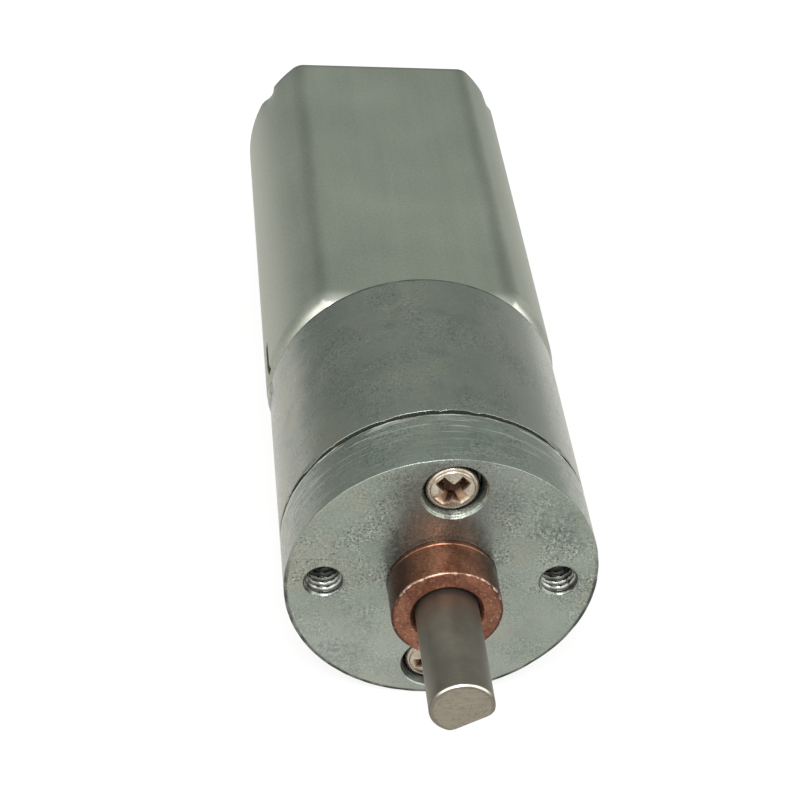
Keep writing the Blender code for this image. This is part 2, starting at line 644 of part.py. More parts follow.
def core_outline():
    """Return the outline of the three-pole core."""
    hub = CORE_HUB_DIAMETER / 2
    stem = POLE_STEM / 2
    under_tip = ROTOR_RADIUS - POLE_TIP
    at_hub = math.asin(stem / hub)
    at_tip = math.asin(stem / under_tip)
    points = []
    for pole in range(3):
        middle = pole * 2 * math.pi / 3 + math.pi / 2
        points += arc(under_tip, middle - at_tip, middle - POLE_HALF_ANGLE)
        points += arc(ROTOR_RADIUS, middle - POLE_HALF_ANGLE, middle + POLE_HALF_ANGLE)
        points += arc(under_tip, middle + POLE_HALF_ANGLE, middle + at_tip)
        points += arc(hub, middle + at_hub, middle + 2 * math.pi / 3 - at_hub)
    return points


def winding(number, material):
    """Make the coil round one pole: a rectangular loop, stood up along the pole."""
    stem = POLE_STEM / 2 + RUN_GAP
    half_length = CORE_LENGTH / 2 + RUN_GAP
    wide = stem + COIL_THICKNESS
    long = half_length + COIL_END - RUN_GAP
    bottom = CORE_HUB_DIAMETER / 2 + RUN_GAP
    top = math.sqrt((ROTOR_RADIUS - POLE_TIP - RUN_GAP) ** 2 - wide ** 2)
    outer = [(-wide, -long), (wide, -long), (wide, long), (-wide, long)]
    inner = [(-stem, -half_length), (stem, -half_length), (stem, half_length), (-stem, half_length)]
    mesh = plate([outer, inner], top, bottom)
    middle = (CORE_FRONT + CORE_BACK) / 2
    turn = number * 2 * math.pi / 3
    cos, sin = math.cos(turn), math.sin(turn)
    for vert in mesh.vertices:
        across, along, out = vert.co
        vert.co = (across * cos - out * sin, across * sin + out * cos, middle - along)
    place(f"winding_{number + 1}", mesh, material)


def commutator(copper, resin):
    """Make the commutator's hub and its three segments."""
    outer = COMMUTATOR_DIAMETER / 2
    inner = outer - COMMUTATOR_WALL
    hub = inner - SEAT_GAP
    place("commutator_hub", ring(hub, MOTOR_SHAFT_RADIUS + SEAT_GAP, COMMUTATOR_FRONT, COMMUTATOR_BACK), resin)
    for number in range(3):
        middle = number * 2 * math.pi / 3 + math.pi / 6
        outline = sector(inner, outer, middle, math.pi / 3 - COMMUTATOR_SLOT / 2)
        place(f"commutator_segment_{number + 1}", plate([outline], COMMUTATOR_FRONT, COMMUTATOR_BACK), copper)


def magnets(material):
    """Make the two arc magnets inside the can's round sides."""
    inner = ROTOR_RADIUS + AIR_GAP
    outer = CAN_DIAMETER / 2 - CAN_WALL - RUN_GAP
    for name, middle in (("magnet_right", 0.0), ("magnet_left", math.pi)):
        outline = sector(inner, outer, middle, MAGNET_HALF_ANGLE)
        place(name, plate([outline], CORE_FRONT + MAGNET_OVERHANG, CORE_BACK - MAGNET_OVERHANG), material)


def end_cap(material):
    """Make the plastic end cap with its bearing boss and terminal slots."""
    cap = place("end_cap", plate([can_outline(CAN_WALL + RUN_GAP)], CAP_INSIDE, CAP_BACK), material)
    pocket = BEARING_RADIUS + SEAT_GAP
    join(cap, rod(pocket + END_BOSS_WALL, CAP_BACK + END_CAP_THICKNESS / 2, BOSS_BACK, ROUND_STEPS), "boss")
    cut(cap, rod(pocket, CAP_INSIDE + CUT_MARGIN, BOSS_BACK + END_BOSS_FLOOR), "pocket")
    for side in (-1, 1):
        low, high = terminal_edges(side, SEAT_GAP)
        half = TERMINAL_WIDTH / 2 + SEAT_GAP
        cut(cap, box((low, -half, CAP_BACK - CUT_MARGIN), (high, half, CAP_INSIDE + CUT_MARGIN)), f"slot_{side}")


def terminal_edges(side, gap):
    """Return the lower and upper x of a terminal's sheet, widened by a gap."""
    brush_back = COMMUTATOR_DIAMETER / 2 + RUN_GAP + BRUSH_DEPTH
    inner = brush_back + 2 * SEAT_GAP + BRUSH_SPRING_THICKNESS
    return sorted((side * (inner - gap), side * (inner + TERMINAL_THICKNESS + gap)))


def brushes_and_terminals(carbon, spring, tinned):
    """Make each side's brush, the leaf that presses it, and the terminal."""
    brush_in = COMMUTATOR_DIAMETER / 2 + RUN_GAP
    spring_in = brush_in + BRUSH_DEPTH + SEAT_GAP
    middle = (COMMUTATOR_FRONT + COMMUTATOR_BACK) / 2
    top, bottom = middle + BRUSH_LENGTH / 2, middle - BRUSH_LENGTH / 2
    half = BRUSH_WIDTH / 2
    leaf = BRUSH_SPRING_WIDTH / 2
    for side, label in ((1, "right"), (-1, "left")):
        low, high = sorted((side * brush_in, side * (brush_in + BRUSH_DEPTH)))
        place(f"brush_{label}", box((low, -half, bottom), (high, half, top)), carbon)
        low, high = sorted((side * spring_in, side * (spring_in + BRUSH_SPRING_THICKNESS)))
        place(f"brush_spring_{label}", box((low, -leaf, CAP_INSIDE + SEAT_GAP), (high, leaf, top)), spring)
        low, high = terminal_edges(side, 0.0)
        wide = TERMINAL_WIDTH / 2
        terminal = place(f"terminal_{label}", box((low, -wide, TERMINAL_BACK),
                                                  (high, wide, CAP_INSIDE + TERMINAL_INSIDE)), tinned)
        hole = rod(TERMINAL_HOLE / 2, high + CUT_MARGIN, low - CUT_MARGIN)
        level = TERMINAL_BACK + TERMINAL_WIDTH / 2
        for vert in hole.vertices:
            x, y, z = vert.co
            vert.co = (z, y, level - x)
        cut(terminal, hole, "eye")


def main():
    """Build the gearmotor."""
    clear_scene()
    zinc = make_material("die_cast_zinc", (0.42, 0.45, 0.42), 0.45, 0.9)
    zinc_housing = make_material("die_cast_zinc_housing", (0.40, 0.42, 0.39), 0.4, 0.9)
    can_steel = make_material("plated_steel_can", (0.48, 0.48, 0.43), 0.38, 0.95)
    steel = make_material("shaft_steel", (0.40, 0.38, 0.35), 0.35, 1.0)
    nickel = make_material("nickel_screw", (0.68, 0.61, 0.55), 0.3, 1.0)
    bronze = make_material("sintered_bronze", (0.45, 0.24, 0.16), 0.5, 0.85)
    gear_steel = make_material("gear_steel", (0.38, 0.37, 0.35), 0.4, 1.0)
    brass = make_material("brass", (0.70, 0.52, 0.22), 0.3, 1.0)
    core_steel = make_material("core_laminations", (0.22, 0.22, 0.23), 0.55, 0.9)
    copper = make_material("copper", (0.62, 0.28, 0.14), 0.35, 1.0)
    resin = make_material("resin", (0.05, 0.05, 0.06), 0.5, 0.0)
    ferrite = make_material("ferrite", (0.07, 0.07, 0.08), 0.7, 0.0)
    nylon = make_material("nylon", (0.03, 0.03, 0.03), 0.5, 0.0)
    carbon = make_material("carbon", (0.04, 0.04, 0.04), 0.6, 0.1)
    spring = make_material("spring_bronze", (0.60, 0.42, 0.22), 0.35, 1.0)
    tinned = make_material("tinned_brass", (0.62, 0.60, 0.55), 0.35, 1.0)

    assembly = bpy.data.objects.new("assembly", None)
    bpy.data.collections[PARTS].objects.link(assembly)
    assembly.rotation_euler = (math.pi / 2, 0.0, 0.0)
    assembly.location = (0.0, (SHAFT_PROUD + TERMINAL_BACK) / 2, GEARBOX_RADIUS)

    front_cover(zinc)
    gear_housing(zinc_housing)
    output_pieces(steel, bronze, gear_steel)
    compound_gears(gear_steel)
    pins_and_spacers(steel)
    screws(nickel, steel)
    motor_can(can_steel)
    bearings(bronze)
    rotor(steel, brass, core_steel, copper, resin)
    magnets(ferrite)
    end_cap(nylon)
    brushes_and_terminals(carbon, spring, tinned)


main()
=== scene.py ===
"""Looks of a small round spur gearmotor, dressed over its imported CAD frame.

The shaft lies along -Y, the can's flats face up and down, and every size is in metres. The outside
pieces are remade with fine edges, threads and recesses; the pieces inside keep their CAD shape and
get finishes of their own.
"""
from __future__ import annotations

import json
import logging
import math
from dataclasses import dataclass
from enum import Enum
from typing import ClassVar, Sequence

import bmesh
import bpy
from mathutils import Matrix, Vector, noise

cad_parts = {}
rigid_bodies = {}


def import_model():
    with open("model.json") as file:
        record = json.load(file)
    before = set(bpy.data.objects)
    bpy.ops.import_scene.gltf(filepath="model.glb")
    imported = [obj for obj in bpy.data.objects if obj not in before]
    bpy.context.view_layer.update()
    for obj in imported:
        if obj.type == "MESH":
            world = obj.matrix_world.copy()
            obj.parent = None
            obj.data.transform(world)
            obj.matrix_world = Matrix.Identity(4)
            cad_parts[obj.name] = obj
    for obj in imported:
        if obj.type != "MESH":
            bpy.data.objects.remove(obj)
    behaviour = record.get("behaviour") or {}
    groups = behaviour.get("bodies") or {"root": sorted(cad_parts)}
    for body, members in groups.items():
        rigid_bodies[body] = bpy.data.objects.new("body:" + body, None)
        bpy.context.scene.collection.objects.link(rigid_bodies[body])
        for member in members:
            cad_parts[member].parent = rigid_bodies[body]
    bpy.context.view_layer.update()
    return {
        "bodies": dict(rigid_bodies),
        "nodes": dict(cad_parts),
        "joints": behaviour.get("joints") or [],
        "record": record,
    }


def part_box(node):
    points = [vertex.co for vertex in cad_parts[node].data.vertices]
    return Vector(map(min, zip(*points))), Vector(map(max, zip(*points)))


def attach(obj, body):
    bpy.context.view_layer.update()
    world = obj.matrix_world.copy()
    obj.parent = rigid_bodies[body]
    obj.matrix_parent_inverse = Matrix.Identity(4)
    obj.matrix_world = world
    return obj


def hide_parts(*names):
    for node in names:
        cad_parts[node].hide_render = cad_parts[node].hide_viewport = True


LOG = logging.getLogger("gearmotor")
MM = 0.001
NUMBER = "NodeSocketFloat"
SIDES = (-1, 1)
WHITE = (1.0, 1.0, 1.0)

# Points closer than this are one, and cutters reach this far past what they cut.
WELD = 0.0005 * MM
OVER = 0.4 * MM

# Facets round each kind of piece, and in its fillets.
RIM_FACETS = 256
SHAFT_FACETS = 192
BUSHING_FACETS = 160
BOSS_FACETS = 96
SCREW_FACETS = 72
SOCKET_FACETS = 48
HOLE_FACETS = 40
WELL_FACETS = 24
FILLET_FACETS = 5
SMALL_FILLET_FACETS = 4

Point = tuple[float, float]
Corner = tuple[float, float, float]
Colour = tuple[float, float, float]


class Body(Enum):
    """The moving bodies of the frame."""

    HOUSING = "housing"
    OUTPUT = "output"


class Fill(Enum):
    """How a Boolean combines two solids."""

    CUT = "DIFFERENCE"
    JOIN = "UNION"


class Sock:
    """One output socket of a node tree, with arithmetic that adds Math nodes."""

    def __init__(self, tree: Tree, socket: bpy.types.NodeSocket) -> None:
        """Keep the tree and the socket."""
        self.tree = tree
        self.socket = socket

    def __add__(self, other: Value) -> Sock:
        """Return self + other."""
        return self.tree.math("ADD", self, other)

    def __radd__(self, other: Value) -> Sock:
        """Return other + self."""
        return self.tree.math("ADD", other, self)

    def __sub__(self, other: Value) -> Sock:
        """Return self - other."""
        return self.tree.math("SUBTRACT", self, other)

    def __rsub__(self, other: Value) -> Sock:
        """Return other - self."""
        return self.tree.math("SUBTRACT", other, self)

    def __mul__(self, other: Value) -> Sock:
        """Return self * other."""
        return self.tree.math("MULTIPLY", self, other)

    def __rmul__(self, other: Value) -> Sock:
        """Return other * self."""
        return self.tree.math("MULTIPLY", other, self)

    def __truediv__(self, other: Value) -> Sock:
        """Return self / other."""
        return self.tree.math("DIVIDE", self, other)

    def __pow__(self, other: Value) -> Sock:
        """Return self to the power of other."""
        return self.tree.math("POWER", self, other)

    def __abs__(self) -> Sock:
        """Return the size of self without its sign."""
        return self.tree.math("ABSOLUTE", self)

    def step(self, low: float, high: float) -> Sock:
        """Return 0 below low and 1 above high, smooth between, also with low above high.

        Args:
            low: Value that gives 0.
            high: Value that gives 1.

        Returns:
            The smooth step.
        """
        sockets = {"Value": self, "From Min": low, "From Max": high}
        return self.tree.node("ShaderNodeMapRange", {"interpolation_type": "SMOOTHSTEP"}, sockets)


Value = float | Sock
Place = tuple[Sock, Sock, Sock]


class Tree:
    """A node tree that is filled through one node-making method."""

    def __init__(self, tree: bpy.types.NodeTree) -> None:
        """Keep the tree."""
        self.tree = tree

    def add(self, kind: str, settings: dict | None = None, sockets: dict | None = None) -> bpy.types.Node:
        """Add a node.

        Args:
            kind: The node's type name.
            settings: Properties, set before the sockets.
            sockets: Values or links, by socket name or number.

        Returns:
            The node.
        """
        made = self.tree.nodes.new(kind)
        for name, value in (settings or {}).items():
            setattr(made, name, value)
        for key, value in (sockets or {}).items():
            if isinstance(value, Sock):
                self.tree.links.new(value.socket, made.inputs[key])
            else:
                made.inputs[key].default_value = value
        return made

    def node(self, kind: str, settings: dict | None = None, sockets: dict | None = None,
             out: int | str = 0) -> Sock:
        """Add a node and return one of its outputs.

        Args:
            kind: The node's type name.
            settings: Properties, set before the sockets.
            sockets: Values or links, by socket name or number.
            out: Name or number of the output.

        Returns:
            The chosen output.
        """
        return Sock(self, self.add(kind, settings, sockets).outputs[out])

    def math(self, operation: str, *values: Value) -> Sock:
        """Add a Math node."""
        return self.node("ShaderNodeMath", {"operation": operation}, dict(enumerate(values)))

    def join(self, x: Value, y: Value, z: Value) -> Sock:
        """Return the vector of three values."""
        return self.node("ShaderNodeCombineXYZ", None, {"X": x, "Y": y, "Z": z})

    def split(self, vector: Sock) -> Place:
        """Return a vector's three values."""
        outputs = self.add("ShaderNodeSeparateXYZ", None, {0: vector}).outputs
        return Sock(self, outputs[0]), Sock(self, outputs[1]), Sock(self, outputs[2])

    def place(self, centre: Corner) -> Sock:
        """Return object coordinates measured from a centre."""
        coordinates = self.node("ShaderNodeTexCoord", None, None, "Object")
        return self.node("ShaderNodeVectorMath", {"operation": "SUBTRACT"}, {0: coordinates, 1: centre})

    def noise(self, vector: Sock, scale: float, detail: float = 3.0, rough: float = 0.55,
              distortion: float = 0.0) -> Sock:
        """Return a noise between about 0.2 and 0.8.

        Args:
            vector: Where to read it.
            scale: Features in a metre.
            detail: Octaves.
            rough: Strength of the finer octaves.
            distortion: How far the pattern is warped.

        Returns:
            The noise value.
        """
        sockets = {"Vector": vector, "Scale": scale, "Detail": detail, "Roughness": rough,
                   "Distortion": distortion}
        return self.node("ShaderNodeTexNoise", None, sockets)

    def stretch(self, vector: Sock, scale: Corner, turn: Corner = (0.0, 0.0, 0.0)) -> Sock:
        """Return a vector turned and then stretched."""
        sockets = {"Vector": vector, "Rotation": turn, "Scale": scale}
        return self.node("ShaderNodeMapping", {"vector_type": "POINT"}, sockets)

    @staticmethod
    def reach(across: Sock, up: Sock) -> Sock:
        """Return how far a point lies from the middle of two coordinates."""
        return (across * across + up * up) ** 0.5

    def mix(self, factor: Value, low: Sock | Colour, high: Sock | Colour) -> Sock:
        """Return a colour between two."""
        ends = [end if isinstance(end, Sock) else (*end, 1.0) for end in (low, high)]
        return self.node("ShaderNodeMix", {"data_type": "RGBA"}, {0: factor, 6: ends[0], 7: ends[1]}, 2)

    def bump(self, height: Sock, strength: float, distance: float) -> Sock:
        """Return a normal that follows a height."""
        return self.node("ShaderNodeBump", None,
                         {"Strength": strength, "Distance": distance, "Height": height})


@dataclass(frozen=True)
class Layout:
    """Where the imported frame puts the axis, the faces and the ends."""

    axis_z: float
    radius: float
    face: float
    cover_back: float
    housing_front: float
    housing_back: float
    can_boss: float
    can_back: float
    can_radius: float
    half_flats: float
    shaft_tip: float
    shaft_back: float
    bushing_front: float
    cap_inside: float
    boss_back: float

    @classmethod
    def from_frame(cls) -> Layout:
        """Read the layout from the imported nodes' boxes.

        Returns:
            The layout.
        """
        cover_low, cover_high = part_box("front_cover")
        housing_low, housing_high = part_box("gear_housing")
        can_low, can_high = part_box("motor_can")
        shaft_low, shaft_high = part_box("output_shaft")
        bushing_low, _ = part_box("output_bushing")
        cap_low, cap_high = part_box("end_cap")
        return cls(axis_z=(cover_low[2] + cover_high[2]) / 2, radius=(cover_high[0] - cover_low[0]) / 2,
                   face=cover_low[1], cover_back=cover_high[1], housing_front=housing_low[1],
                   housing_back=housing_high[1], can_boss=can_low[1], can_back=can_high[1],
                   can_radius=can_high[0], half_flats=(can_high[2] - can_low[2]) / 2,
                   shaft_tip=shaft_low[1], shaft_back=shaft_high[1], bushing_front=bushing_low[1],
                   cap_inside=cap_low[1], boss_back=cap_high[1])

    def centre(self) -> Corner:
        """Return the middle of the mounting face."""
        return (0.0, self.face, self.axis_z)


class Shop:
    """Mesh tools that the pieces share."""

    @staticmethod
    def rounded(corners: Sequence[Corner], closed: bool, steps: int = FILLET_FACETS) -> list[Point]:
        """Round the corners of an outline.

        Args:
            corners: Points with the fillet radius at each.
            closed: Whether the last point joins the first.
            steps: Facets in each fillet.

        Returns:
            The outline's points.
        """
        points: list[Point] = []
        count = len(corners)
        for index, (u, v, fillet) in enumerate(corners):
            at_end = not closed and index in (0, count - 1)
            if fillet == 0.0 or at_end:
                points.append((u, v))
                continue
            here = Vector((u, v))
            before = (Vector(corners[index - 1][:2]) - here).normalized()
            after = (Vector(corners[(index + 1) % count][:2]) - here).normalized()
            half = before.angle(after) / 2
            reach = fillet / math.tan(half)
            middle = here + (before + after).normalized() * (fillet / math.sin(half))
            start = here + before * reach - middle
            end = here + after * reach - middle
            sweep = start.angle_signed(end)
            for step in range(steps + 1):
                spoke = start.copy()
                spoke.rotate(Matrix.Rotation(-sweep * step / steps, 2))
                points.append(tuple(middle + spoke))
        return points

    @staticmethod
    def revolve(name: str, profile: Sequence[Point], axis: Point, steps: int) -> bpy.types.Object:
        """Turn a (radius, y) profile round an axis along Y.

        Args:
            name: Name of the new object.
            profile: Closed outline, or an open one with both ends at radius 0.
            axis: The axis's x and z.
            steps: Facets round the axis.

        Returns:
            The object.
        """
        bm = bmesh.new()
        solid = profile[0][0] == 0.0
        verts = [bm.verts.new((radius, y, 0.0)) for radius, y in profile]
        loop = list(zip(verts, verts[1:])) if solid else list(zip(verts, verts[1:] + verts[:1]))
        edges = [bm.edges.new(pair) for pair in loop]
        bmesh.ops.spin(bm, geom=verts + edges, cent=(0, 0, 0), axis=(0, 1, 0), steps=steps,
                       angle=2 * math.pi, use_merge=True)
        bmesh.ops.translate(bm, verts=bm.verts, vec=(axis[0], 0.0, axis[1]))
        return Shop.wrap(name, bm)

    @staticmethod
    def rod(name: str, radius: float, ends: Point, axis: Point, steps: int) -> bpy.types.Object:
        """Make a plain round rod along Y.

        Args:
            name: Name of the new object.
            radius: The rod's radius.
            ends: Where it starts and ends.
            axis: The axis's x and z.
            steps: Facets round the axis.

        Returns:
            The object.
        """
        start, end = ends
        return Shop.revolve(name, [(0.0, start), (radius, start), (radius, end), (0.0, end)], axis, steps)

    @staticmethod
    def wrap(name: str, bm: bmesh.types.BMesh) -> bpy.types.Object:
        """Weld an open mesh, point its faces out and make it an object.

        Args:
            name: Name of the new object.
            bm: The open mesh, which is freed.

        Returns:
            The object.
        """
        bmesh.ops.remove_doubles(bm, verts=bm.verts, dist=WELD)
        bmesh.ops.recalc_face_normals(bm, faces=bm.faces)
        mesh = bpy.data.meshes.new(name)
        bm.to_mesh(mesh)
        bm.free()
        obj = bpy.data.objects.new(name, mesh)
        bpy.context.scene.collection.objects.link(obj)
        return obj

    @staticmethod
    def loft(name: str, rings: Sequence[Sequence[Corner]]) -> bpy.types.Object:
        """Join closed rings of equal counts into one closed skin, the last ring to the first.

        Args:
            name: Name of the new object.
            rings: The rings' points.

        Returns:
            The object.
        """
        bm = bmesh.new()
        made = [[bm.verts.new(point) for point in ring] for ring in rings]
        for ring, after in zip(made, made[1:] + made[:1]):
            count = len(ring)
            for index in range(count):
                other = (index + 1) % count
                bm.faces.new((ring[index], ring[other], after[other], after[index]))
        return Shop.wrap(name, bm)

    @staticmethod
    def strip(name: str, rings: Sequence[Sequence[Corner]]) -> bpy.types.Object:
        """Join closed rings into a bar with flat ends.

        Args:
            name: Name of the new object.
            rings: The sections' points.

        Returns:
            The object.
        """
        bm = bmesh.new()
        made = [[bm.verts.new(point) for point in ring] for ring in rings]
        for ring, after in zip(made, made[1:]):
            for index in range(len(ring)):
                bm.faces.new((ring[index - 1], ring[index], after[index], after[index - 1]))
        bm.faces.new(made[0])
        bm.faces.new(made[-1])
        return Shop.wrap(name, bm)

    @staticmethod
    def block(name: str, low: Corner, high: Corner) -> bpy.types.Object:
        """Make a box between two corners.

        Args:
            name: Name of the new object.
            low: Its lowest corner.
            high: Its highest corner.

        Returns:
            The object.
        """
        bm = bmesh.new()
        bmesh.ops.create_cube(bm, size=1.0)
        size = Vector(high) - Vector(low)
        bmesh.ops.scale(bm, verts=bm.verts, vec=size)
        bmesh.ops.translate(bm, verts=bm.verts, vec=(Vector(high) + Vector(low)) / 2)
        return Shop.wrap(name, bm)

    @staticmethod
    def turn(obj: bpy.types.Object, angle: float, axis_z: float) -> bpy.types.Object:
        """Turn an object's mesh round the shaft axis, from +X towards +Z.

        Args:
            obj: The object.
            angle: How far, in radians.
            axis_z: The axis's height.

        Returns:
            The same object.
        """
        shift = Matrix.Translation((0.0, 0.0, axis_z))
        obj.data.transform(shift @ Matrix.Rotation(-angle, 4, "Y") @ shift.inverted())
        return obj

    @staticmethod
    def combine(obj: bpy.types.Object, tools: Sequence[bpy.types.Object], fill: Fill) -> None:
        """Cut or join other solids, and remove them.

        Args:
            obj: The solid that stays.
            tools: The solids that are cut out of it or joined to it.
            fill: Which of the two.
        """
        for tool in tools:
            boolean = obj.modifiers.new(tool.name, "BOOLEAN")
            boolean.operation = fill.value
            boolean.solver = "EXACT"
            boolean.object = tool
        Shop.bake(obj)
        for tool in tools:
            bpy.data.objects.remove(tool, do_unlink=True)

    @staticmethod
    def bake(obj: bpy.types.Object) -> None:
        """Turn an object's modifiers into plain mesh.

        Args:
            obj: The object.
        """
        depsgraph = bpy.context.evaluated_depsgraph_get()
        mesh = bpy.data.meshes.new_from_object(obj.evaluated_get(depsgraph))
        mesh.name = obj.name
        obj.modifiers.clear()
        obj.data = mesh

    @staticmethod
    def shade(obj: bpy.types.Object, sharp: float = 32.0) -> None:
        """Shade an object smooth, with sharp edges and flat faces kept.

        Args:
            obj: The object.
            sharp: The angle in degrees from which an edge is sharp.
        """
        obj.data.shade_smooth()
        obj.data.set_sharp_from_angle(angle=math.radians(sharp))
        weighted = obj.modifiers.new("weighted", "WEIGHTED_NORMAL")
        weighted.keep_sharp = True
        Shop.bake(obj)

    @staticmethod
    def grown(name: str, tree: bpy.types.NodeTree, sizes: dict[str, float]) -> bpy.types.Object:
        """Run a geometry tree and keep its result as a plain mesh.

        Args:
            name: Name of the new object.
            tree: The tree.
            sizes: Its inputs, by name.

        Returns:
            The object.
        """
        obj = bpy.data.objects.new(name, bpy.data.meshes.new(name))
        bpy.context.scene.collection.objects.link(obj)
        modifier = obj.modifiers.new("grow", "NODES")
        modifier.node_group = tree
        for item in tree.interface.items_tree:
            if item.item_type == "SOCKET" and item.in_out == "INPUT" and item.name in sizes:
                modifier[item.identifier] = sizes[item.name]
        Shop.bake(obj)
        return obj


class GrowthTree(Tree):
    """A Geometry Nodes tree with named inputs for its sizes."""

    def __init__(self, name: str, inputs: dict[str, str]) -> None:
        """Make the tree with its inputs.

        Args:
            name: The tree's name.
            inputs: Socket types, by input name.
        """
        tree = bpy.data.node_groups.new(name, "GeometryNodeTree")
        for label, kind in inputs.items():
            tree.interface.new_socket(label, in_out="INPUT", socket_type=kind)
        tree.interface.new_socket("Geometry", in_out="OUTPUT", socket_type="NodeSocketGeometry")
        super().__init__(tree)
        self.entry = tree.nodes.new("NodeGroupInput")
        self.exit = tree.nodes.new("NodeGroupOutput")

    def size(self, name: str) -> Sock:
        """Return one of the tree's inputs."""
        return Sock(self, self.entry.outputs[name])

    def finish(self, geometry: Sock, material: bpy.types.Material) -> bpy.types.NodeTree:
        """Realise and dress the geometry, and close the tree.

        Args:
            geometry: What the tree makes.
            material: What it is made of.

        Returns:
            The tree's data block.
        """
        geometry = self.node("GeometryNodeRealizeInstances", None, {0: geometry})
        geometry = self.node("GeometryNodeSetMaterial", None, {"Geometry": geometry, "Material": material})
        self.tree.links.new(geometry.socket, self.exit.inputs[0])
        return self.tree


class Finish:
    """A surface finish that fills a Principled shader."""

    name: str

    def dress(self, tree: Tree) -> dict[str, Sock | float | Colour]:
        """Return the shader's sockets, by name."""
        raise NotImplementedError

    def material(self) -> bpy.types.Material:
        """Make the finish's material, or find it if it is made.

        Returns:
            The material.
        """
        found = bpy.data.materials.get(self.name)
        if found is not None:
            return found
        made = bpy.data.materials.new(self.name)
        made.use_nodes = True
        made.node_tree.nodes.clear()
        tree = Tree(made.node_tree)
        sockets = {name: (*value, 1.0) if isinstance(value, tuple) else value
                   for name, value in self.dress(tree).items()}
        shader = tree.node("ShaderNodeBsdfPrincipled", None, sockets)
        tree.add("ShaderNodeOutputMaterial", None, {"Surface": shader})
        return made


@dataclass(frozen=True)
class CastZinc(Finish):
    """As-cast zinc: clouded and speckled, with rub marks that run round the rim."""

    name: str
    centre: Corner
    radius: float
    length: float
    dark: Colour
    light: Colour
    roughness: float
    cloud: float
    speckle: float
    rubs: float
    relief: float
    stain: float
    tint: ClassVar[Colour] = (0.29, 0.29, 0.23)
    warm_stain: ClassVar[Colour] = (0.33, 0.31, 0.248)
    cool_stain: ClassVar[Colour] = (0.135, 0.168, 0.163)
    pit: ClassVar[Colour] = (0.09, 0.095, 0.085)
    fleck: ClassVar[Colour] = (0.64, 0.65, 0.58)
    rim_shade: ClassVar[Colour] = (0.11, 0.125, 0.113)
    rub_and_glint: ClassVar[Colour] = (0.66, 0.68, 0.64)
    painted_burr_glint: ClassVar[Colour] = (0.95, 0.96, 0.92)

    def dress(self, tree: Tree) -> dict[str, Sock | float | Colour]:
        """Cloud and speckle the casting, add its stains and rubs, paint shade on the rim's sides and paint
        glints on the chips of its rear edge.

        Args:
            tree: The material's tree.

        Returns:
            The shader's sockets, by name.
        """
        place = tree.place(self.centre)
        x, y, z = tree.split(place)
        rim = tree.reach(x, z).step(self.radius - 0.10 * MM, self.radius - 0.03 * MM)
        angle = tree.math("ARCTAN2", z, x)
        around = tree.join(angle * (self.radius * 0.035), y, 0.0)
        cloud = tree.noise(place, 240.0, 3.0, 0.55) - 0.5
        mottle = tree.noise(place, 2300.0, 2.0, 0.6, 0.3) - 0.5
        grit = tree.noise(place, 5600.0, 3.0, 0.7) - 0.5
        pits = tree.noise(place, 6200.0, 2.0, 0.6).step(0.57, 0.63)
        turned = tree.stretch(place, (1.0, 1.0, 1.0), (0.6, 0.3, 0.9))
        flecks = tree.noise(turned, 6600.0, 2.0, 0.6).step(0.58, 0.65)
        hair = tree.noise(around, 6400.0, 3.0, 0.6).step(0.55, 0.66)
        rubs = hair * rim * (0.25 + 0.75 * y.step(0.35 * self.length, 0.95 * self.length)) * self.rubs
        fine = grit * 3.2 + mottle * 0.6
        patch = tree.noise(turned, 330.0, 3.0, 0.6, 0.5).step(0.40, 0.62)
        calm = (1 - 0.6 * rim) * (0.45 + 0.8 * z.step(-6.0 * MM, 3.0 * MM)) * (0.25 + 1.25 * patch)
        tone = 0.5 + cloud * self.cloud + fine * (calm * self.speckle)
        colour = tree.mix(tone, self.dark, self.light)
        tint = tree.noise(place, 4700.0, 2.0, 0.5).step(0.42, 0.62) * calm * (0.2 * self.speckle)
        colour = tree.mix(tint, colour, self.tint)
        warm = tree.noise(turned, 230.0, 4.0, 0.6).step(0.46, 0.64)
        cool = tree.noise(turned, 310.0, 4.0, 0.6, 0.4).step(0.50, 0.66)
        colour = tree.mix(warm * self.stain, colour, self.warm_stain)
        colour = tree.mix(cool * self.stain, colour, self.cool_stain)
        colour = tree.mix(pits * calm * (0.55 * self.speckle), colour, self.pit)
        colour = tree.mix(flecks * calm * (0.22 * self.speckle), colour, self.fleck)
        # Painted shade: the rim darkens towards its left and right sides.
        colour = tree.mix(rim * abs(x).step(3.0 * MM, 7.0 * MM) * 0.16, colour, self.rim_shade)
        colour = tree.mix(rubs, colour, self.rub_and_glint)
        # Painted glints: chips along the rim's rear edge, by the seam, turn almost white.
        chips = tree.noise(tree.stretch(around, (5.0, 1.0, 1.0)), 2600.0, 3.0, 0.6).step(0.50, 0.60)
        burr_glint = chips * y.step(self.length - 0.34 * MM, self.length - 0.12 * MM) * rim * self.rubs
        colour = tree.mix(burr_glint, colour, self.painted_burr_glint)
        colour = self.soil_and_shade(tree, (x, y, z), colour)
        rough = self.roughness + mottle * 0.35 * self.speckle + cloud * 0.15 - flecks * 0.06
        height = grit + mottle * 0.8 - pits * 0.6 * self.speckle - rubs * 0.5
        return {"Base Color": colour, "Metallic": 0.9, "Roughness": rough,
                "Normal": tree.bump(height, self.relief, 0.02 * MM)}

    def soil_and_shade(self, tree: Tree, place: Place, colour: Sock) -> Sock:
        """Return the colour as it is, because a plain casting is neither soiled nor shaded."""
        return colour


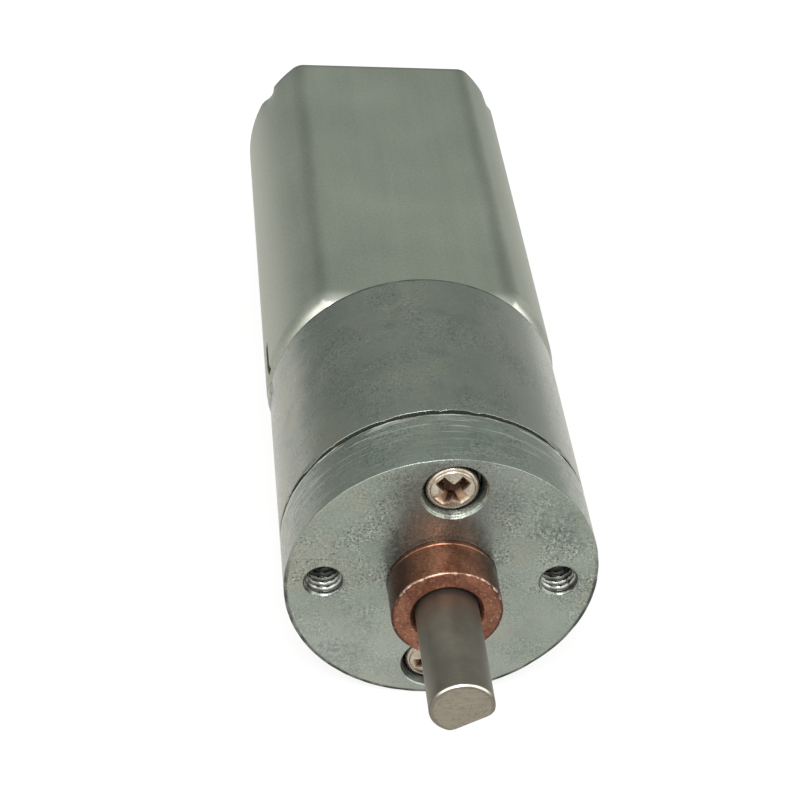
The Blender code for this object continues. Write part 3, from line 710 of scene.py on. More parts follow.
@dataclass(frozen=True)
class CupZinc(CastZinc):
    """Cast zinc with painted shade along its rear edge, where the can meets it."""

    painted_rear_edge_shade: ClassVar[Colour] = (0.05, 0.053, 0.048)

    def soil_and_shade(self, tree: Tree, place: Place, colour: Sock) -> Sock:
        """Paint uneven shade along the rear edge.

        Args:
            tree: The material's tree.
            place: Coordinates from the middle of the front.
            colour: The casting's colour.

        Returns:
            The colour with the edge's painted shade.
        """
        # Painted shade: a patchy dark band along the rear edge, where the housing meets the can.
        patchy = tree.noise(tree.join(*place), 620.0, 3.0, 0.6).step(0.36, 0.6)
        edge = place[1].step(self.length - 0.36 * MM, self.length - 0.16 * MM)
        return tree.mix(edge * (0.3 + 0.6 * patchy), colour, self.painted_rear_edge_shade)


@dataclass(frozen=True)
class Pocket:
    """The painted shade in one counterbore."""

    x: float
    z: float
    reach: float
    start: float
    recess_shade: float


@dataclass(frozen=True)
class Smudge:
    """A speckled stain on the face."""

    x: float
    z: float
    reach: float
    strength: float


@dataclass(frozen=True)
class TappedZinc(CastZinc):
    """Cast zinc with a stained face, and painted light and shade on it, its counterbores and tapped holes.
    """

    spacing: float
    bore: float
    pockets: tuple[Pocket, ...]
    smudges: tuple[Smudge, ...]
    painted_reflection_shade: ClassVar[Colour] = (0.085, 0.084, 0.083)
    pale: ClassVar[Colour] = (0.60, 0.62, 0.58)
    smudge: ClassVar[Colour] = (0.085, 0.112, 0.104)
    painted_pocket_shade: ClassVar[Colour] = (0.03, 0.032, 0.03)
    painted_lower_edge_shade: ClassVar[Colour] = (0.03, 0.033, 0.03)
    painted_thread_shade: ClassVar[Colour] = (0.10, 0.105, 0.098)
    thread_crest: ClassVar[Colour] = (0.50, 0.51, 0.48)
    painted_thread_root_shade: ClassVar[Colour] = (0.035, 0.035, 0.032)
    painted_hole_shade: ClassVar[Colour] = (0.014, 0.014, 0.013)

    def soil_and_shade(self, tree: Tree, place: Place, colour: Sock) -> Sock:
        """Stain the face, and paint light and shade on it and in its counterbores, lower edge and holes.

        Args:
            tree: The material's tree.
            place: Coordinates from the middle of the face.
            colour: The casting's colour.

        Returns:
            The colour with its stains and painted light and shade.
        """
        for layer in (self._stain_light_and_shade_face, self._shade_pockets, self._shade_lower_edge, self._light_and_shade_holes):
            colour = layer(tree, place, colour)
        return colour

    def _stain_light_and_shade_face(self, tree: Tree, place: Place, colour: Sock) -> Sock:
        """Paint shade and a dark reflection above the bushing, light on the lower left, and add the
        smudges.

        Args:
            tree: The material's tree.
            place: Coordinates from the middle of the face.
            colour: The colour below.

        Returns:
            The colour with this layer on it.
        """
        x, y, z = place
        level = y.step(0.05 * MM, 0.02 * MM)
        # Painted reflection and shade: a soft dark patch on the face above the bushing.
        painted_reflection_shade = tree.reach(x, z - 6.2 * MM).step(5.6 * MM, 1.6 * MM) * level
        colour = tree.mix(painted_reflection_shade * 0.54, colour, self.painted_reflection_shade)
        # Painted light: the lower left of the face is lightened.
        pale = z.step(-0.5 * MM, -4.5 * MM) * level * (1 - 0.7 * x.step(3.0 * MM, 7.0 * MM))
        colour = tree.mix(pale * 0.16, colour, self.pale)
        specks = tree.noise(tree.join(x, y, z), 2900.0, 4.0, 0.7).step(0.44, 0.57)
        ragged = (tree.noise(tree.join(x, y, z), 560.0, 4.0, 0.65) - 0.5) * (6.0 * MM)
        for smudge in self.smudges:
            within = (tree.reach(x - smudge.x, z - smudge.z) + ragged).step(smudge.reach, 0.0)
            colour = tree.mix(within * specks * smudge.strength, colour, self.smudge)
        return colour

    def _shade_pockets(self, tree: Tree, place: Place, colour: Sock) -> Sock:
        """Paint shade in the counterbores below their lips.

        Args:
            tree: The material's tree.
            place: Coordinates from the middle of the face.
            colour: The colour below.

        Returns:
            The colour with this layer on it.
        """
        x, y, z = place
        for pocket in self.pockets:
            # Painted shade: each counterbore darkens below its lip, most of all the lower one, under the
            # shaft.
            within = tree.reach(x - pocket.x, z - pocket.z)
            within = within.step(pocket.reach + 0.02 * MM, pocket.reach - 0.04 * MM)
            sunk = y.step(pocket.start, pocket.start + 0.08 * MM)
            colour = tree.mix(within * sunk * pocket.recess_shade, colour, self.painted_pocket_shade)
        return colour

    def _shade_lower_edge(self, tree: Tree, place: Place, colour: Sock) -> Sock:
        """Paint a patchy line of shade along the lower front edge.

        Args:
            tree: The material's tree.
            place: Coordinates from the middle of the face.
            colour: The colour below.

        Returns:
            The colour with this layer on it.
        """
        x, y, z = place
        # Painted shade: a patchy dark line along the lower part of the face's rim.
        patchy = tree.noise(tree.join(x, y, z), 700.0, 3.0, 0.6).step(0.34, 0.6)
        edge = tree.reach(x, z).step(self.radius - 0.30 * MM, self.radius - 0.16 * MM)
        edge = edge * y.step(0.20 * MM, 0.08 * MM) * z.step(3.5 * MM, -1.0 * MM)
        return tree.mix(edge * (0.45 + 0.5 * patchy), colour, self.painted_lower_edge_shade)

    def _light_and_shade_holes(self, tree: Tree, place: Place, colour: Sock) -> Sock:
        """Paint shade in the tapped holes, and paint highlights on the thread's crests near the face.

        Args:
            tree: The material's tree.
            place: Coordinates from the middle of the face.
            colour: The colour below.

        Returns:
            The colour with this layer on it.
        """
        x, y, z = place
        reach = tree.reach(abs(x) - self.spacing / 2, z)
        inside = reach.step(self.bore + 0.34 * MM, self.bore + 0.29 * MM)
        groove = reach.step(self.bore + 0.05 * MM, self.bore + 0.17 * MM) * y.step(0.10 * MM, 0.32 * MM)
        deep = y.step(0.7 * MM, 2.0 * MM)
        lit_crests = y.step(0.06 * MM, 0.2 * MM) * (1 - deep)
        # Painted shade inside the holes, darkest in the thread's roots and deep down, and painted
        # highlights on the crests near the face.
        colour = tree.mix(inside * (1 - lit_crests) * 0.45, colour, self.painted_thread_shade)
        colour = tree.mix(inside * lit_crests * 0.6, colour, self.thread_crest)
        colour = tree.mix(inside * groove * 0.94, colour, self.painted_thread_root_shade)
        return tree.mix(inside * deep * 0.94, colour, self.painted_hole_shade)


@dataclass(frozen=True)
class PlatedSteel(Finish):
    """Satin plated sheet steel: a soft cloud of tone, faint draw marks and painted shade on the creases."""

    name: str
    centre: Corner
    dark: Colour
    light: Colour
    roughness: float
    crease: float
    crease_width: float
    crease_shift: float
    flat: float
    radius: float
    length: float
    slot_z: float
    slot_half: float
    slot_start: float
    slot_end: float
    painted_shoulder_glint: ClassVar[Colour] = (0.66, 0.67, 0.61)
    speck: ClassVar[Colour] = (0.17, 0.17, 0.145)
    painted_crease_shade: ClassVar[Colour] = (0.11, 0.115, 0.095)
    lip_shade: ClassVar[Colour] = (0.13, 0.135, 0.115)
    painted_slot_shade: ClassVar[Colour] = (0.02, 0.02, 0.018)

    def dress(self, tree: Tree) -> dict[str, Sock | float | Colour]:
        """Cloud the plate, paint shade on its creases and slot, and paint a glint on its smoothed shoulder.

        Args:
            tree: The material's tree.

        Returns:
            The shader's sockets, by name.
        """
        place = tree.place(self.centre)
        x, y, z = tree.split(place)
        streak = tree.noise(tree.stretch(place, (1500.0, 45.0, 1500.0)), 1.0, 3.0, 0.55) - 0.5
        cloud = tree.noise(place, 130.0, 3.0, 0.5) - 0.5
        fine = tree.noise(place, 5200.0, 3.0, 0.65) - 0.5
        specks = tree.noise(place, 2300.0, 3.0, 0.6).step(0.68, 0.76)
        wander = tree.noise(tree.stretch(place, (300.0, 120.0, 300.0)), 1.0, 2.0, 0.5) - 0.5
        off = abs(abs(x + self.crease_shift) - self.crease + wander * (0.6 * self.crease_width))
        # Painted shade: a wandering dark line along each long edge of the flats.
        crease = off.step(self.crease_width, 0.0) * abs(z).step(self.flat - 1.3 * MM, self.flat - 0.4 * MM)
        crease = crease * (0.75 + wander * 1.2)
        # Smoothed and painted glint: near the flats' corners the shoulder is less rough and painted
        # lighter.
        burnish_and_glint = y.step(2.0 * MM, 0.9 * MM) * abs(z).step(5.2 * MM, 7.4 * MM)
        # Painted shade: the slot in the can's left side is painted almost black inside.
        sunk = tree.reach(x, z).step(self.radius - 0.06 * MM, self.radius - 0.16 * MM)
        level = abs(z - self.slot_z).step(self.slot_half + 0.01 * MM, self.slot_half - 0.02 * MM)
        gap = sunk * x.step(-9.0 * MM, -9.3 * MM) * level
        gap = gap * y.step(self.slot_end + 1.9 * MM, self.slot_end + 0.9 * MM)
        gap = gap * y.step(self.slot_start - 0.04 * MM, self.slot_start)
        lip = y.step(self.length - 0.55 * MM, self.length - 0.35 * MM)
        tone = 0.5 + streak * 0.3 + cloud * 0.9 + fine * 1.6 + burnish_and_glint * 0.5
        colour = tree.mix(tone, self.dark, self.light)
        colour = tree.mix(burnish_and_glint * 0.5, colour, self.painted_shoulder_glint)
        colour = tree.mix(specks * 0.25, colour, self.speck)
        colour = tree.mix(crease * 0.40, colour, self.painted_crease_shade)
        colour = tree.mix(lip * 0.3, colour, self.lip_shade)
        colour = tree.mix(gap * 0.95, colour, self.painted_slot_shade)
        rough = self.roughness + streak * 0.08 + cloud * 0.16 - burnish_and_glint * 0.14
        height = fine * 0.6 + streak * 0.3
        return {"Base Color": colour, "Metallic": 0.92, "Roughness": rough,
                "Normal": tree.bump(height, 0.16, 0.02 * MM)}


@dataclass(frozen=True)
class SinteredBronze(Finish):
    """Oily sintered bronze: open grain, coppery, with a painted highlight along the top of its front edge.
    """

    name: str
    centre: Corner
    radius: float
    dark: Colour
    light: Colour
    flank_shade: ClassVar[Colour] = (0.05, 0.021, 0.014)
    oil_and_foot_shade: ClassVar[Colour] = (0.07, 0.03, 0.02)
    rub_and_glint: ClassVar[Colour] = (0.86, 0.58, 0.46)

    def dress(self, tree: Tree) -> dict[str, Sock | float | Colour]:
        """Grain the bronze, darken its pores, and paint shade on its flanks and foot and light on its edge.

        Args:
            tree: The material's tree.

        Returns:
            The shader's sockets, by name.
        """
        place = tree.place(self.centre)
        x, y, z = tree.split(place)
        radius = tree.reach(x, z)
        chips = tree.noise(place, 2600.0, 3.0, 0.6) - 0.5
        # Painted highlight: a ragged bright band along the top of the front edge.
        edge = (radius - self.radius + 0.14 * MM + chips * (0.5 * MM)).step(0.0, 0.12 * MM)
        edge = edge * (y + chips * (0.5 * MM)).step(0.20 * MM, 0.08 * MM) * z.step(0.4 * MM, 2.6 * MM)
        edge = edge * tree.noise(place, 1300.0, 3.0, 0.6).step(0.42, 0.58)
        front = y.step(0.30 * MM, 0.06 * MM)
        grain = tree.noise(place, 4400.0, 2.0, 0.6)
        cloud = tree.noise(place, 900.0, 3.0, 0.6)
        pores = tree.noise(place, 3900.0, 2.0, 0.6).step(0.58, 0.68)
        turned = tree.stretch(place, (1.0, 1.0, 1.0), (0.4, 0.8, 0.2))
        glints = tree.noise(turned, 5200.0, 2.0, 0.5).step(0.61, 0.69)
        ring = front * radius.step(self.radius - 0.08 * MM, self.radius - 0.24 * MM)
        # Painted shade: the left and right flanks darken, less on the front ring.
        flank = abs(x).step(1.0 * MM, 3.0 * MM) * (1 - 0.72 * ring)
        colour = tree.mix((grain * 0.9 + cloud * 1.1 - 0.5).step(0.1, 0.9), self.dark, self.light)
        colour = tree.mix(flank * 0.92, colour, self.flank_shade)
        colour = tree.mix(pores * 0.55, colour, self.oil_and_foot_shade)
        # Painted shade: the band by the foot, where the bushing meets the face, darkens.
        colour = tree.mix(y.step(2.5 * MM, 2.7 * MM) * 0.45, colour, self.oil_and_foot_shade)
        # Painted glints: random sparkles, stronger on the front, plus the painted edge highlight.
        colour = tree.mix(glints * (0.06 + 0.18 * front) + edge * 0.75, colour, self.rub_and_glint)
        rough = 0.31 + 0.12 * front + (grain - 0.5) * 0.3 - glints * 0.1
        height = (grain - pores * 0.8) * (0.35 + 0.65 * front)
        return {"Base Color": colour, "Metallic": 0.92, "Roughness": rough,
                "Normal": tree.bump(height, 0.6, 0.025 * MM)}


@dataclass(frozen=True)
class GroundSteel(Finish):
    """Ground steel: fine rings round the axis, and turning marks on the tip."""

    name: str
    centre: Corner
    radius: float
    dark: Colour
    light: Colour
    roughness: float
    grain: float
    sawn: ClassVar[Colour] = (0.36, 0.318, 0.246)
    mark: ClassVar[Colour] = (0.09, 0.08, 0.07)
    tip_shade: ClassVar[Colour] = (0.08, 0.07, 0.058)
    painted_chamfer_highlight: ClassVar[Colour] = (0.66, 0.62, 0.56)

    def dress(self, tree: Tree) -> dict[str, Sock | float | Colour]:
        """Ring the shaft with fine marks, leave its tip as sawn, and paint light and shade at the tip.

        Args:
            tree: The material's tree.

        Returns:
            The shader's sockets, by name.
        """
        place = tree.place(self.centre)
        x, y, z = tree.split(place)
        radius = tree.reach(x, z)
        tip = y.step(0.06 * MM, 0.02 * MM)
        # Painted highlight: the top of the tip's chamfer is lightened.
        chamfer_highlight = y.step(0.035 * MM, 0.05 * MM) * y.step(0.2 * MM, 0.15 * MM) * z.step(0.9 * MM, 1.6 * MM)
        # Painted shade: the tip's face darkens towards its rim.
        shade = radius.step(self.radius - 0.32 * MM, self.radius - 0.2 * MM) * tip
        rings = tree.noise(tree.join(radius * tip, y * (1 - tip), 0.0), 9000.0, 3.0, 0.6)
        saw = tree.noise(tree.stretch(place, (1100.0, 1.0, 5200.0), (0.0, 0.12, 0.0)), 1.0, 4.0, 0.65) - 0.5
        middle = radius.step(0.42 * MM, 0.15 * MM) * tip
        cloud = tree.noise(place, 420.0, 4.0, 0.6)
        grit = tree.noise(place, 5400.0, 3.0, 0.65)
        marks = tree.noise(place, 3800.0, 2.0, 0.5).step(0.64, 0.74)
        spread = cloud * 0.8 + rings * 0.3 + grit * (0.2 + 2.4 * tip) + saw * (2.6 * tip)
        spread = spread - 0.4 * middle - 0.85 * tip
        colour = tree.mix((spread - 0.28).step(0.1, 0.9), self.dark, self.light)
        colour = tree.mix(tip * 0.42, colour, self.sawn)
        colour = tree.mix(marks * (0.12 + 0.35 * tip), colour, self.mark)
        colour = tree.mix(shade * 0.4, colour, self.tip_shade)
        colour = tree.mix(chamfer_highlight * 0.75, colour, self.painted_chamfer_highlight)
        rough = self.roughness + (cloud - 0.5) * 0.14 + tip * 0.16 + (grit - 0.5) * 0.1 - chamfer_highlight * 0.14
        height = rings * 0.35 + grit * (0.15 + 0.9 * tip) + saw * (1.4 * tip)
        return {"Base Color": colour, "Metallic": 0.95, "Roughness": rough,
                "Normal": tree.bump(height, self.grain, 0.015 * MM)}


@dataclass(frozen=True)
class NickelScrew(Finish):
    """Nickel or tin plate, worn and a little stained."""

    name: str
    bright: Colour
    dull: Colour
    roughness: float
    tarnish: ClassVar[Colour] = (0.24, 0.16, 0.10)

    def dress(self, tree: Tree) -> dict[str, Sock | float | Colour]:
        """Cloud and stain the plate.

        Args:
            tree: The material's tree.

        Returns:
            The shader's sockets, by name.
        """
        place = tree.place((0.0, 0.0, 0.0))
        cloud = tree.noise(place, 1800.0, 4.0, 0.65)
        grit = tree.noise(place, 7000.0, 3.0, 0.6)
        stain = tree.noise(place, 3000.0, 3.0, 0.6).step(0.52, 0.68)
        colour = tree.mix(cloud.step(0.35, 0.65), self.dull, self.bright)
        colour = tree.mix(stain * 0.35, colour, self.tarnish)
        colour = self.soil_and_shade(tree, colour)
        rough = self.roughness + (grit - 0.5) * 0.22 + stain * 0.12
        return {"Base Color": colour, "Metallic": 0.95, "Roughness": rough,
                "Normal": tree.bump(grit + cloud * 0.6, 0.35, 0.02 * MM)}

    def soil_and_shade(self, tree: Tree, colour: Sock) -> Sock:
        """Return the colour as it is, because clean plate is neither soiled nor shaded."""
        return colour


@dataclass(frozen=True)
class GrimyShadedScrew(NickelScrew):
    """Nickel screw heads with brown dirt and painted shade in the cross recess."""

    centre: Corner
    circle: float
    sunk: float
    reach: float
    recess_shade: ClassVar[Colour] = (0.17, 0.102, 0.058)
    deep_recess_shade: ClassVar[Colour] = (0.05, 0.028, 0.016)

    def soil_and_shade(self, tree: Tree, colour: Sock) -> Sock:
        """Return the colour with brown dirt and painted shade below the head's surface, darkest deepest.

        Args:
            tree: The material's tree.
            colour: The clean head's colour.

        Returns:
            The colour with dirt and painted shade.
        """
        x, y, z = tree.split(tree.place(self.centre))
        out = tree.reach(x, abs(z) - self.circle)
        # Dirt and painted shade: the recess turns brown and darkens with depth.
        inside = out.step(self.reach + 0.05 * MM, self.reach - 0.05 * MM)
        depth = (y - self.sunk).step(0.14 * MM, 0.36 * MM)
        colour = tree.mix(inside * depth * 0.9, colour, self.recess_shade)
        deep = (y - self.sunk).step(0.4 * MM, 0.8 * MM)
        return tree.mix(inside * deep * 0.85, colour, self.deep_recess_shade)


@dataclass(frozen=True)
class Moulded(Finish):
    """Moulded plastic, resin, carbon or ferrite: fine grain and a soft cloud of tone."""

    name: str
    dark: Colour
    light: Colour
    roughness: float
    metallic: float = 0.0
    grain: float = 0.3

    def dress(self, tree: Tree) -> dict[str, Sock | float | Colour]:
        """Grain and cloud the surface.

        Args:
            tree: The material's tree.

        Returns:
            The shader's sockets, by name.
        """
        place = tree.place((0.0, 0.0, 0.0))
        cloud = tree.noise(place, 500.0, 4.0, 0.6)
        grit = tree.noise(place, 6000.0, 3.0, 0.6)
        colour = tree.mix((cloud * 0.8 + grit * 0.5 - 0.15).step(0.2, 0.8), self.dark, self.light)
        return {"Base Color": colour, "Metallic": self.metallic,
                "Roughness": self.roughness + (grit - 0.5) * 0.2,
                "Normal": tree.bump(grit + cloud * 0.4, self.grain, 0.02 * MM)}


@dataclass(frozen=True)
class Striped(Finish):
    """Metal with fine stripes along Y, as on cut teeth, stacked sheets or wire."""

    name: str
    dark: Colour
    light: Colour
    roughness: float
    pitch: float
    depth: float

    def dress(self, tree: Tree) -> dict[str, Sock | float | Colour]:
        """Stripe and cloud the metal.

        Args:
            tree: The material's tree.

        Returns:
            The shader's sockets, by name.
        """
        place = tree.place((0.0, 0.0, 0.0))
        _, y, _ = tree.split(place)
        wave = tree.math("SINE", y * (2 * math.pi / self.pitch)) * 0.5 + 0.5
        cloud = tree.noise(place, 900.0, 4.0, 0.6)
        grit = tree.noise(place, 6000.0, 2.0, 0.6)
        colour = tree.mix((wave * 0.5 + cloud * 0.8 - 0.15).step(0.15, 0.85), self.dark, self.light)
        return {"Base Color": colour, "Metallic": 0.95,
                "Roughness": self.roughness + (cloud - 0.5) * 0.2 + (grit - 0.5) * 0.15,
                "Normal": tree.bump(wave + grit * 0.3, 0.5, self.depth)}


def present(piece: bpy.types.Object, finish: Finish, body: Body, slot: str, *nodes: str) -> None:
    """Dress a finished piece, tie it to its body and hide the CAD nodes it stands for.

    Args:
        piece: The finished object.
        finish: Its surface.
        body: The body it moves with.
        slot: The record's material slot; not used.
        nodes: The CAD nodes it replaces.
    """
    piece.data.materials.clear()
    piece.data.materials.append(finish.material())
    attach(piece, body.value)
    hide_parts(*nodes)
    LOG.info("%s: %d faces", piece.name, len(piece.data.polygons))


@dataclass
class FrontCover:
    """The die-cast cover: rounded rim, two tapped holes and two counterbores."""

    layout: Layout
    bushing_radius: float = 3.52 * MM
    rim_fillet: float = 0.06 * MM
    seam_fillet: float = 0.09 * MM
    worn_band: float = 0.3 * MM
    hole_spacing: float = 15.0 * MM
    thread_minor: float = 1.02 * MM
    thread_depth: float = 0.25 * MM
    thread_pitch: float = 0.45 * MM
    thread_over: float = 0.5 * MM
    thread_round: int = 56
    thread_rows: int = 130
    thread_crest: float = 1.25
    mouth: float = 0.20 * MM
    mouth_slope: float = 0.55
    mouth_thread: float = 0.3
    screw_circle: float = 7.30 * MM
    counterbore: float = 1.84 * MM
    counterbore_mouth: float = 2.10 * MM
    counterbore_cone: float = 0.58 * MM
    counterbore_depth: float = 1.62 * MM
    counterbore_shift: float = 0.09 * MM
    counterbore_lift: float = 0.05 * MM
    lip: float = 0.04 * MM
    ridge: float = 0.19 * MM
    ridge_front: float = 0.07 * MM
    ridge_crest: float = 0.03 * MM
    ridge_back: float = 0.08 * MM
    shank: float = 1.05 * MM
    nick: float = 0.09 * MM
    nick_least: float = 0.4
    nick_coarse: float = 1100.0
    nick_fine: float = 3100.0
    fine_share: float = 0.7
    rim_wear: float = 0.006
    rim_wear_scale: float = 800.0

    def build(self) -> None:
        """Make the cover."""
        lay = self.layout
        bore = self.bushing_radius
        corners = [(bore, lay.face, 0.0), (lay.radius - self.worn_band, lay.face, 0.0),
                   (lay.radius, lay.face, self.rim_fillet), (lay.radius, lay.face + self.worn_band, 0.0),
                   (lay.radius, lay.cover_back - self.worn_band, 0.0),
                   (lay.radius, lay.cover_back, self.seam_fillet), (bore, lay.cover_back, 0.0)]
        cover = Shop.revolve("cover", Shop.rounded(corners, True), (0.0, lay.axis_z), RIM_FACETS)
        finish = TappedZinc(
            name="cast_zinc_cover", centre=lay.centre(), radius=lay.radius,
            length=lay.cover_back - lay.face, dark=(0.156, 0.184, 0.161), light=(0.341, 0.380, 0.341),
            roughness=0.26, cloud=1.0, speckle=1.3, rubs=0.9, relief=0.3, stain=0.34,
            spacing=self.hole_spacing, bore=self.thread_minor, pockets=self._pockets(),
            smudges=self._smudges())
        Shop.combine(cover, [*self._threads(finish), *self._counterbores()], Fill.CUT)
        self._nick(cover)
        Shop.shade(cover)
        present(cover, finish, Body.HOUSING, "die_cast_zinc", "front_cover")

    def _threads(self, finish: Finish) -> list[bpy.types.Object]:
        """Make a threaded cutter for each tapped hole.

        Args:
            finish: The casting's surface.

        Returns:
            The cutters.
        """
        lay = self.layout
        tree = self._thread_tree(finish)
        sizes = {"Pitch": self.thread_pitch, "Minor": self.thread_minor, "Depth": self.thread_depth,
                 "Length": lay.cover_back - lay.face + 2 * self.thread_over, "Mouth": self.mouth}
        tools = []
        for side in SIDES:
            tool = Shop.grown(f"thread_{side}", tree, sizes)
            middle = (side * self.hole_spacing / 2, (lay.face + lay.cover_back) / 2, lay.axis_z)
            tool.data.transform(Matrix.Translation(middle) @ Matrix.Rotation(math.pi / 2, 4, "X"))
            tools.append(tool)
        return tools

    def _thread_tree(self, finish: Finish) -> bpy.types.NodeTree:
        """Make the tree of a threaded rod along Z that flares at its top.

        Args:
            finish: The casting's surface.

        Returns:
            The tree.
        """
        inputs = ("Pitch", "Minor", "Depth", "Length", "Mouth")
        tree = GrowthTree("tapped_thread", dict.fromkeys(inputs, NUMBER))
        rod = tree.node("GeometryNodeMeshCylinder", {"fill_type": "NGON"},
                        {"Vertices": self.thread_round, "Side Segments": self.thread_rows,
                         "Radius": tree.size("Minor"), "Depth": tree.size("Length")})
        x, y, z = tree.split(tree.node("GeometryNodeInputPosition"))
        angle = tree.math("ARCTAN2", y, x)
        turns = tree.math("FRACT", z / tree.size("Pitch") - angle / (2 * math.pi))
        ridge = 1 - abs(turns * 2 - 1)
        groove = tree.math("MINIMUM", ridge * self.thread_crest, 1.0) * tree.size("Depth")
        above = z - (tree.size("Length") / 2 - self.thread_over)
        mouth = tree.size("Minor") + tree.size("Mouth")
        flare = mouth + above * self.mouth_slope + groove * self.mouth_thread
        radius = tree.math("MAXIMUM", tree.size("Minor") + groove, flare)
        grow = radius / tree.size("Minor")
        rod = tree.node("GeometryNodeSetPosition", None,
                        {"Geometry": rod, "Position": tree.join(x * grow, y * grow, z)})
        return tree.finish(rod, finish.material())

    def _counterbores(self) -> list[bpy.types.Object]:
        """Make a stepped cutter with a rounded lip for each cover screw.

        Returns:
            The cutters.
        """
        lay = self.layout
        mouth = self.counterbore_mouth
        ridge = lay.face + self.ridge
        seat = lay.face + self.counterbore_depth
        corners = [(0.0, lay.face - OVER, 0.0), (mouth + OVER + self.lip, lay.face - OVER, 0.0),
                   (mouth, lay.face + self.lip, 0.03 * MM),
                   (mouth - self.ridge_front, ridge - self.lip, 0.01 * MM),
                   (mouth - self.ridge_crest, ridge, 0.01 * MM),
                   (mouth - self.ridge_back, ridge + self.lip, 0.02 * MM),
                   (self.counterbore, lay.face + self.counterbore_cone, 0.08 * MM),
                   (self.counterbore, seat, 0.1 * MM), (self.shank, seat, 0.0),
                   (self.shank, lay.cover_back + OVER, 0.0), (0.0, lay.cover_back + OVER, 0.0)]
        profile = Shop.rounded(corners, False, SMALL_FILLET_FACETS)
        middle = lay.axis_z + self.counterbore_lift
        return [Shop.revolve(f"counterbore_{side}", profile,
                             (self.counterbore_shift, middle + side * self.screw_circle), BOSS_FACETS)
                for side in SIDES]

    def _pockets(self) -> tuple[Pocket, ...]:
        """Describe the painted shade of the two counterbores, more in the one below the shaft.

        Returns:
            The upper pocket and the lower one.
        """
        high = self.counterbore_lift + self.screw_circle
        low = self.counterbore_lift - self.screw_circle
        x, reach = self.counterbore_shift, self.counterbore_mouth
        return (Pocket(x=x, z=high, reach=reach, start=0.21 * MM, recess_shade=0.5),
                Pocket(x=x, z=low, reach=reach, start=0.02 * MM, recess_shade=0.8))

    @staticmethod
    def _smudges() -> tuple[Smudge, ...]:
        """Describe the stains on the face.

        Returns:
            The one at the upper right, at the lower left and left of the bushing.
        """
        return (Smudge(x=7.0 * MM, z=4.3 * MM, reach=2.6 * MM, strength=0.8),
                Smudge(x=-6.4 * MM, z=-6.3 * MM, reach=2.2 * MM, strength=0.45),
                Smudge(x=-4.6 * MM, z=-3.0 * MM, reach=2.2 * MM, strength=0.34))

    def _nick(self, cover: bpy.types.Object) -> None:
        """Wear the seam's edge and the rim unevenly, so that they glint here and there.

        Args:
            cover: The cover.
        """
        lay = self.layout
        for vert in cover.data.vertices:
            x, y, z = vert.co
            radius = math.hypot(x, z - lay.axis_z)
            near = 1 - min(1.0, abs(y - lay.cover_back) / (2 * self.seam_fillet))
            if radius > lay.radius - 2 * self.seam_fillet and near > 0:
                place = Vector((x, 0.0, z))
                fine = self.fine_share * noise.noise(place * self.nick_fine)
                wear = noise.noise(place * self.nick_coarse) + fine
                vert.co.y -= near * self.nick * (self.nick_least + wear)
            elif radius > lay.radius - 2 * self.rim_fillet and y < lay.face + 2 * self.rim_fillet:
                wear = max(0.0, noise.noise(Vector((x, 7.0, z)) * self.rim_wear_scale))
                vert.co.x *= 1 - self.rim_wear * wear
                vert.co.z = lay.axis_z + (z - lay.axis_z) * (1 - self.rim_wear * wear)


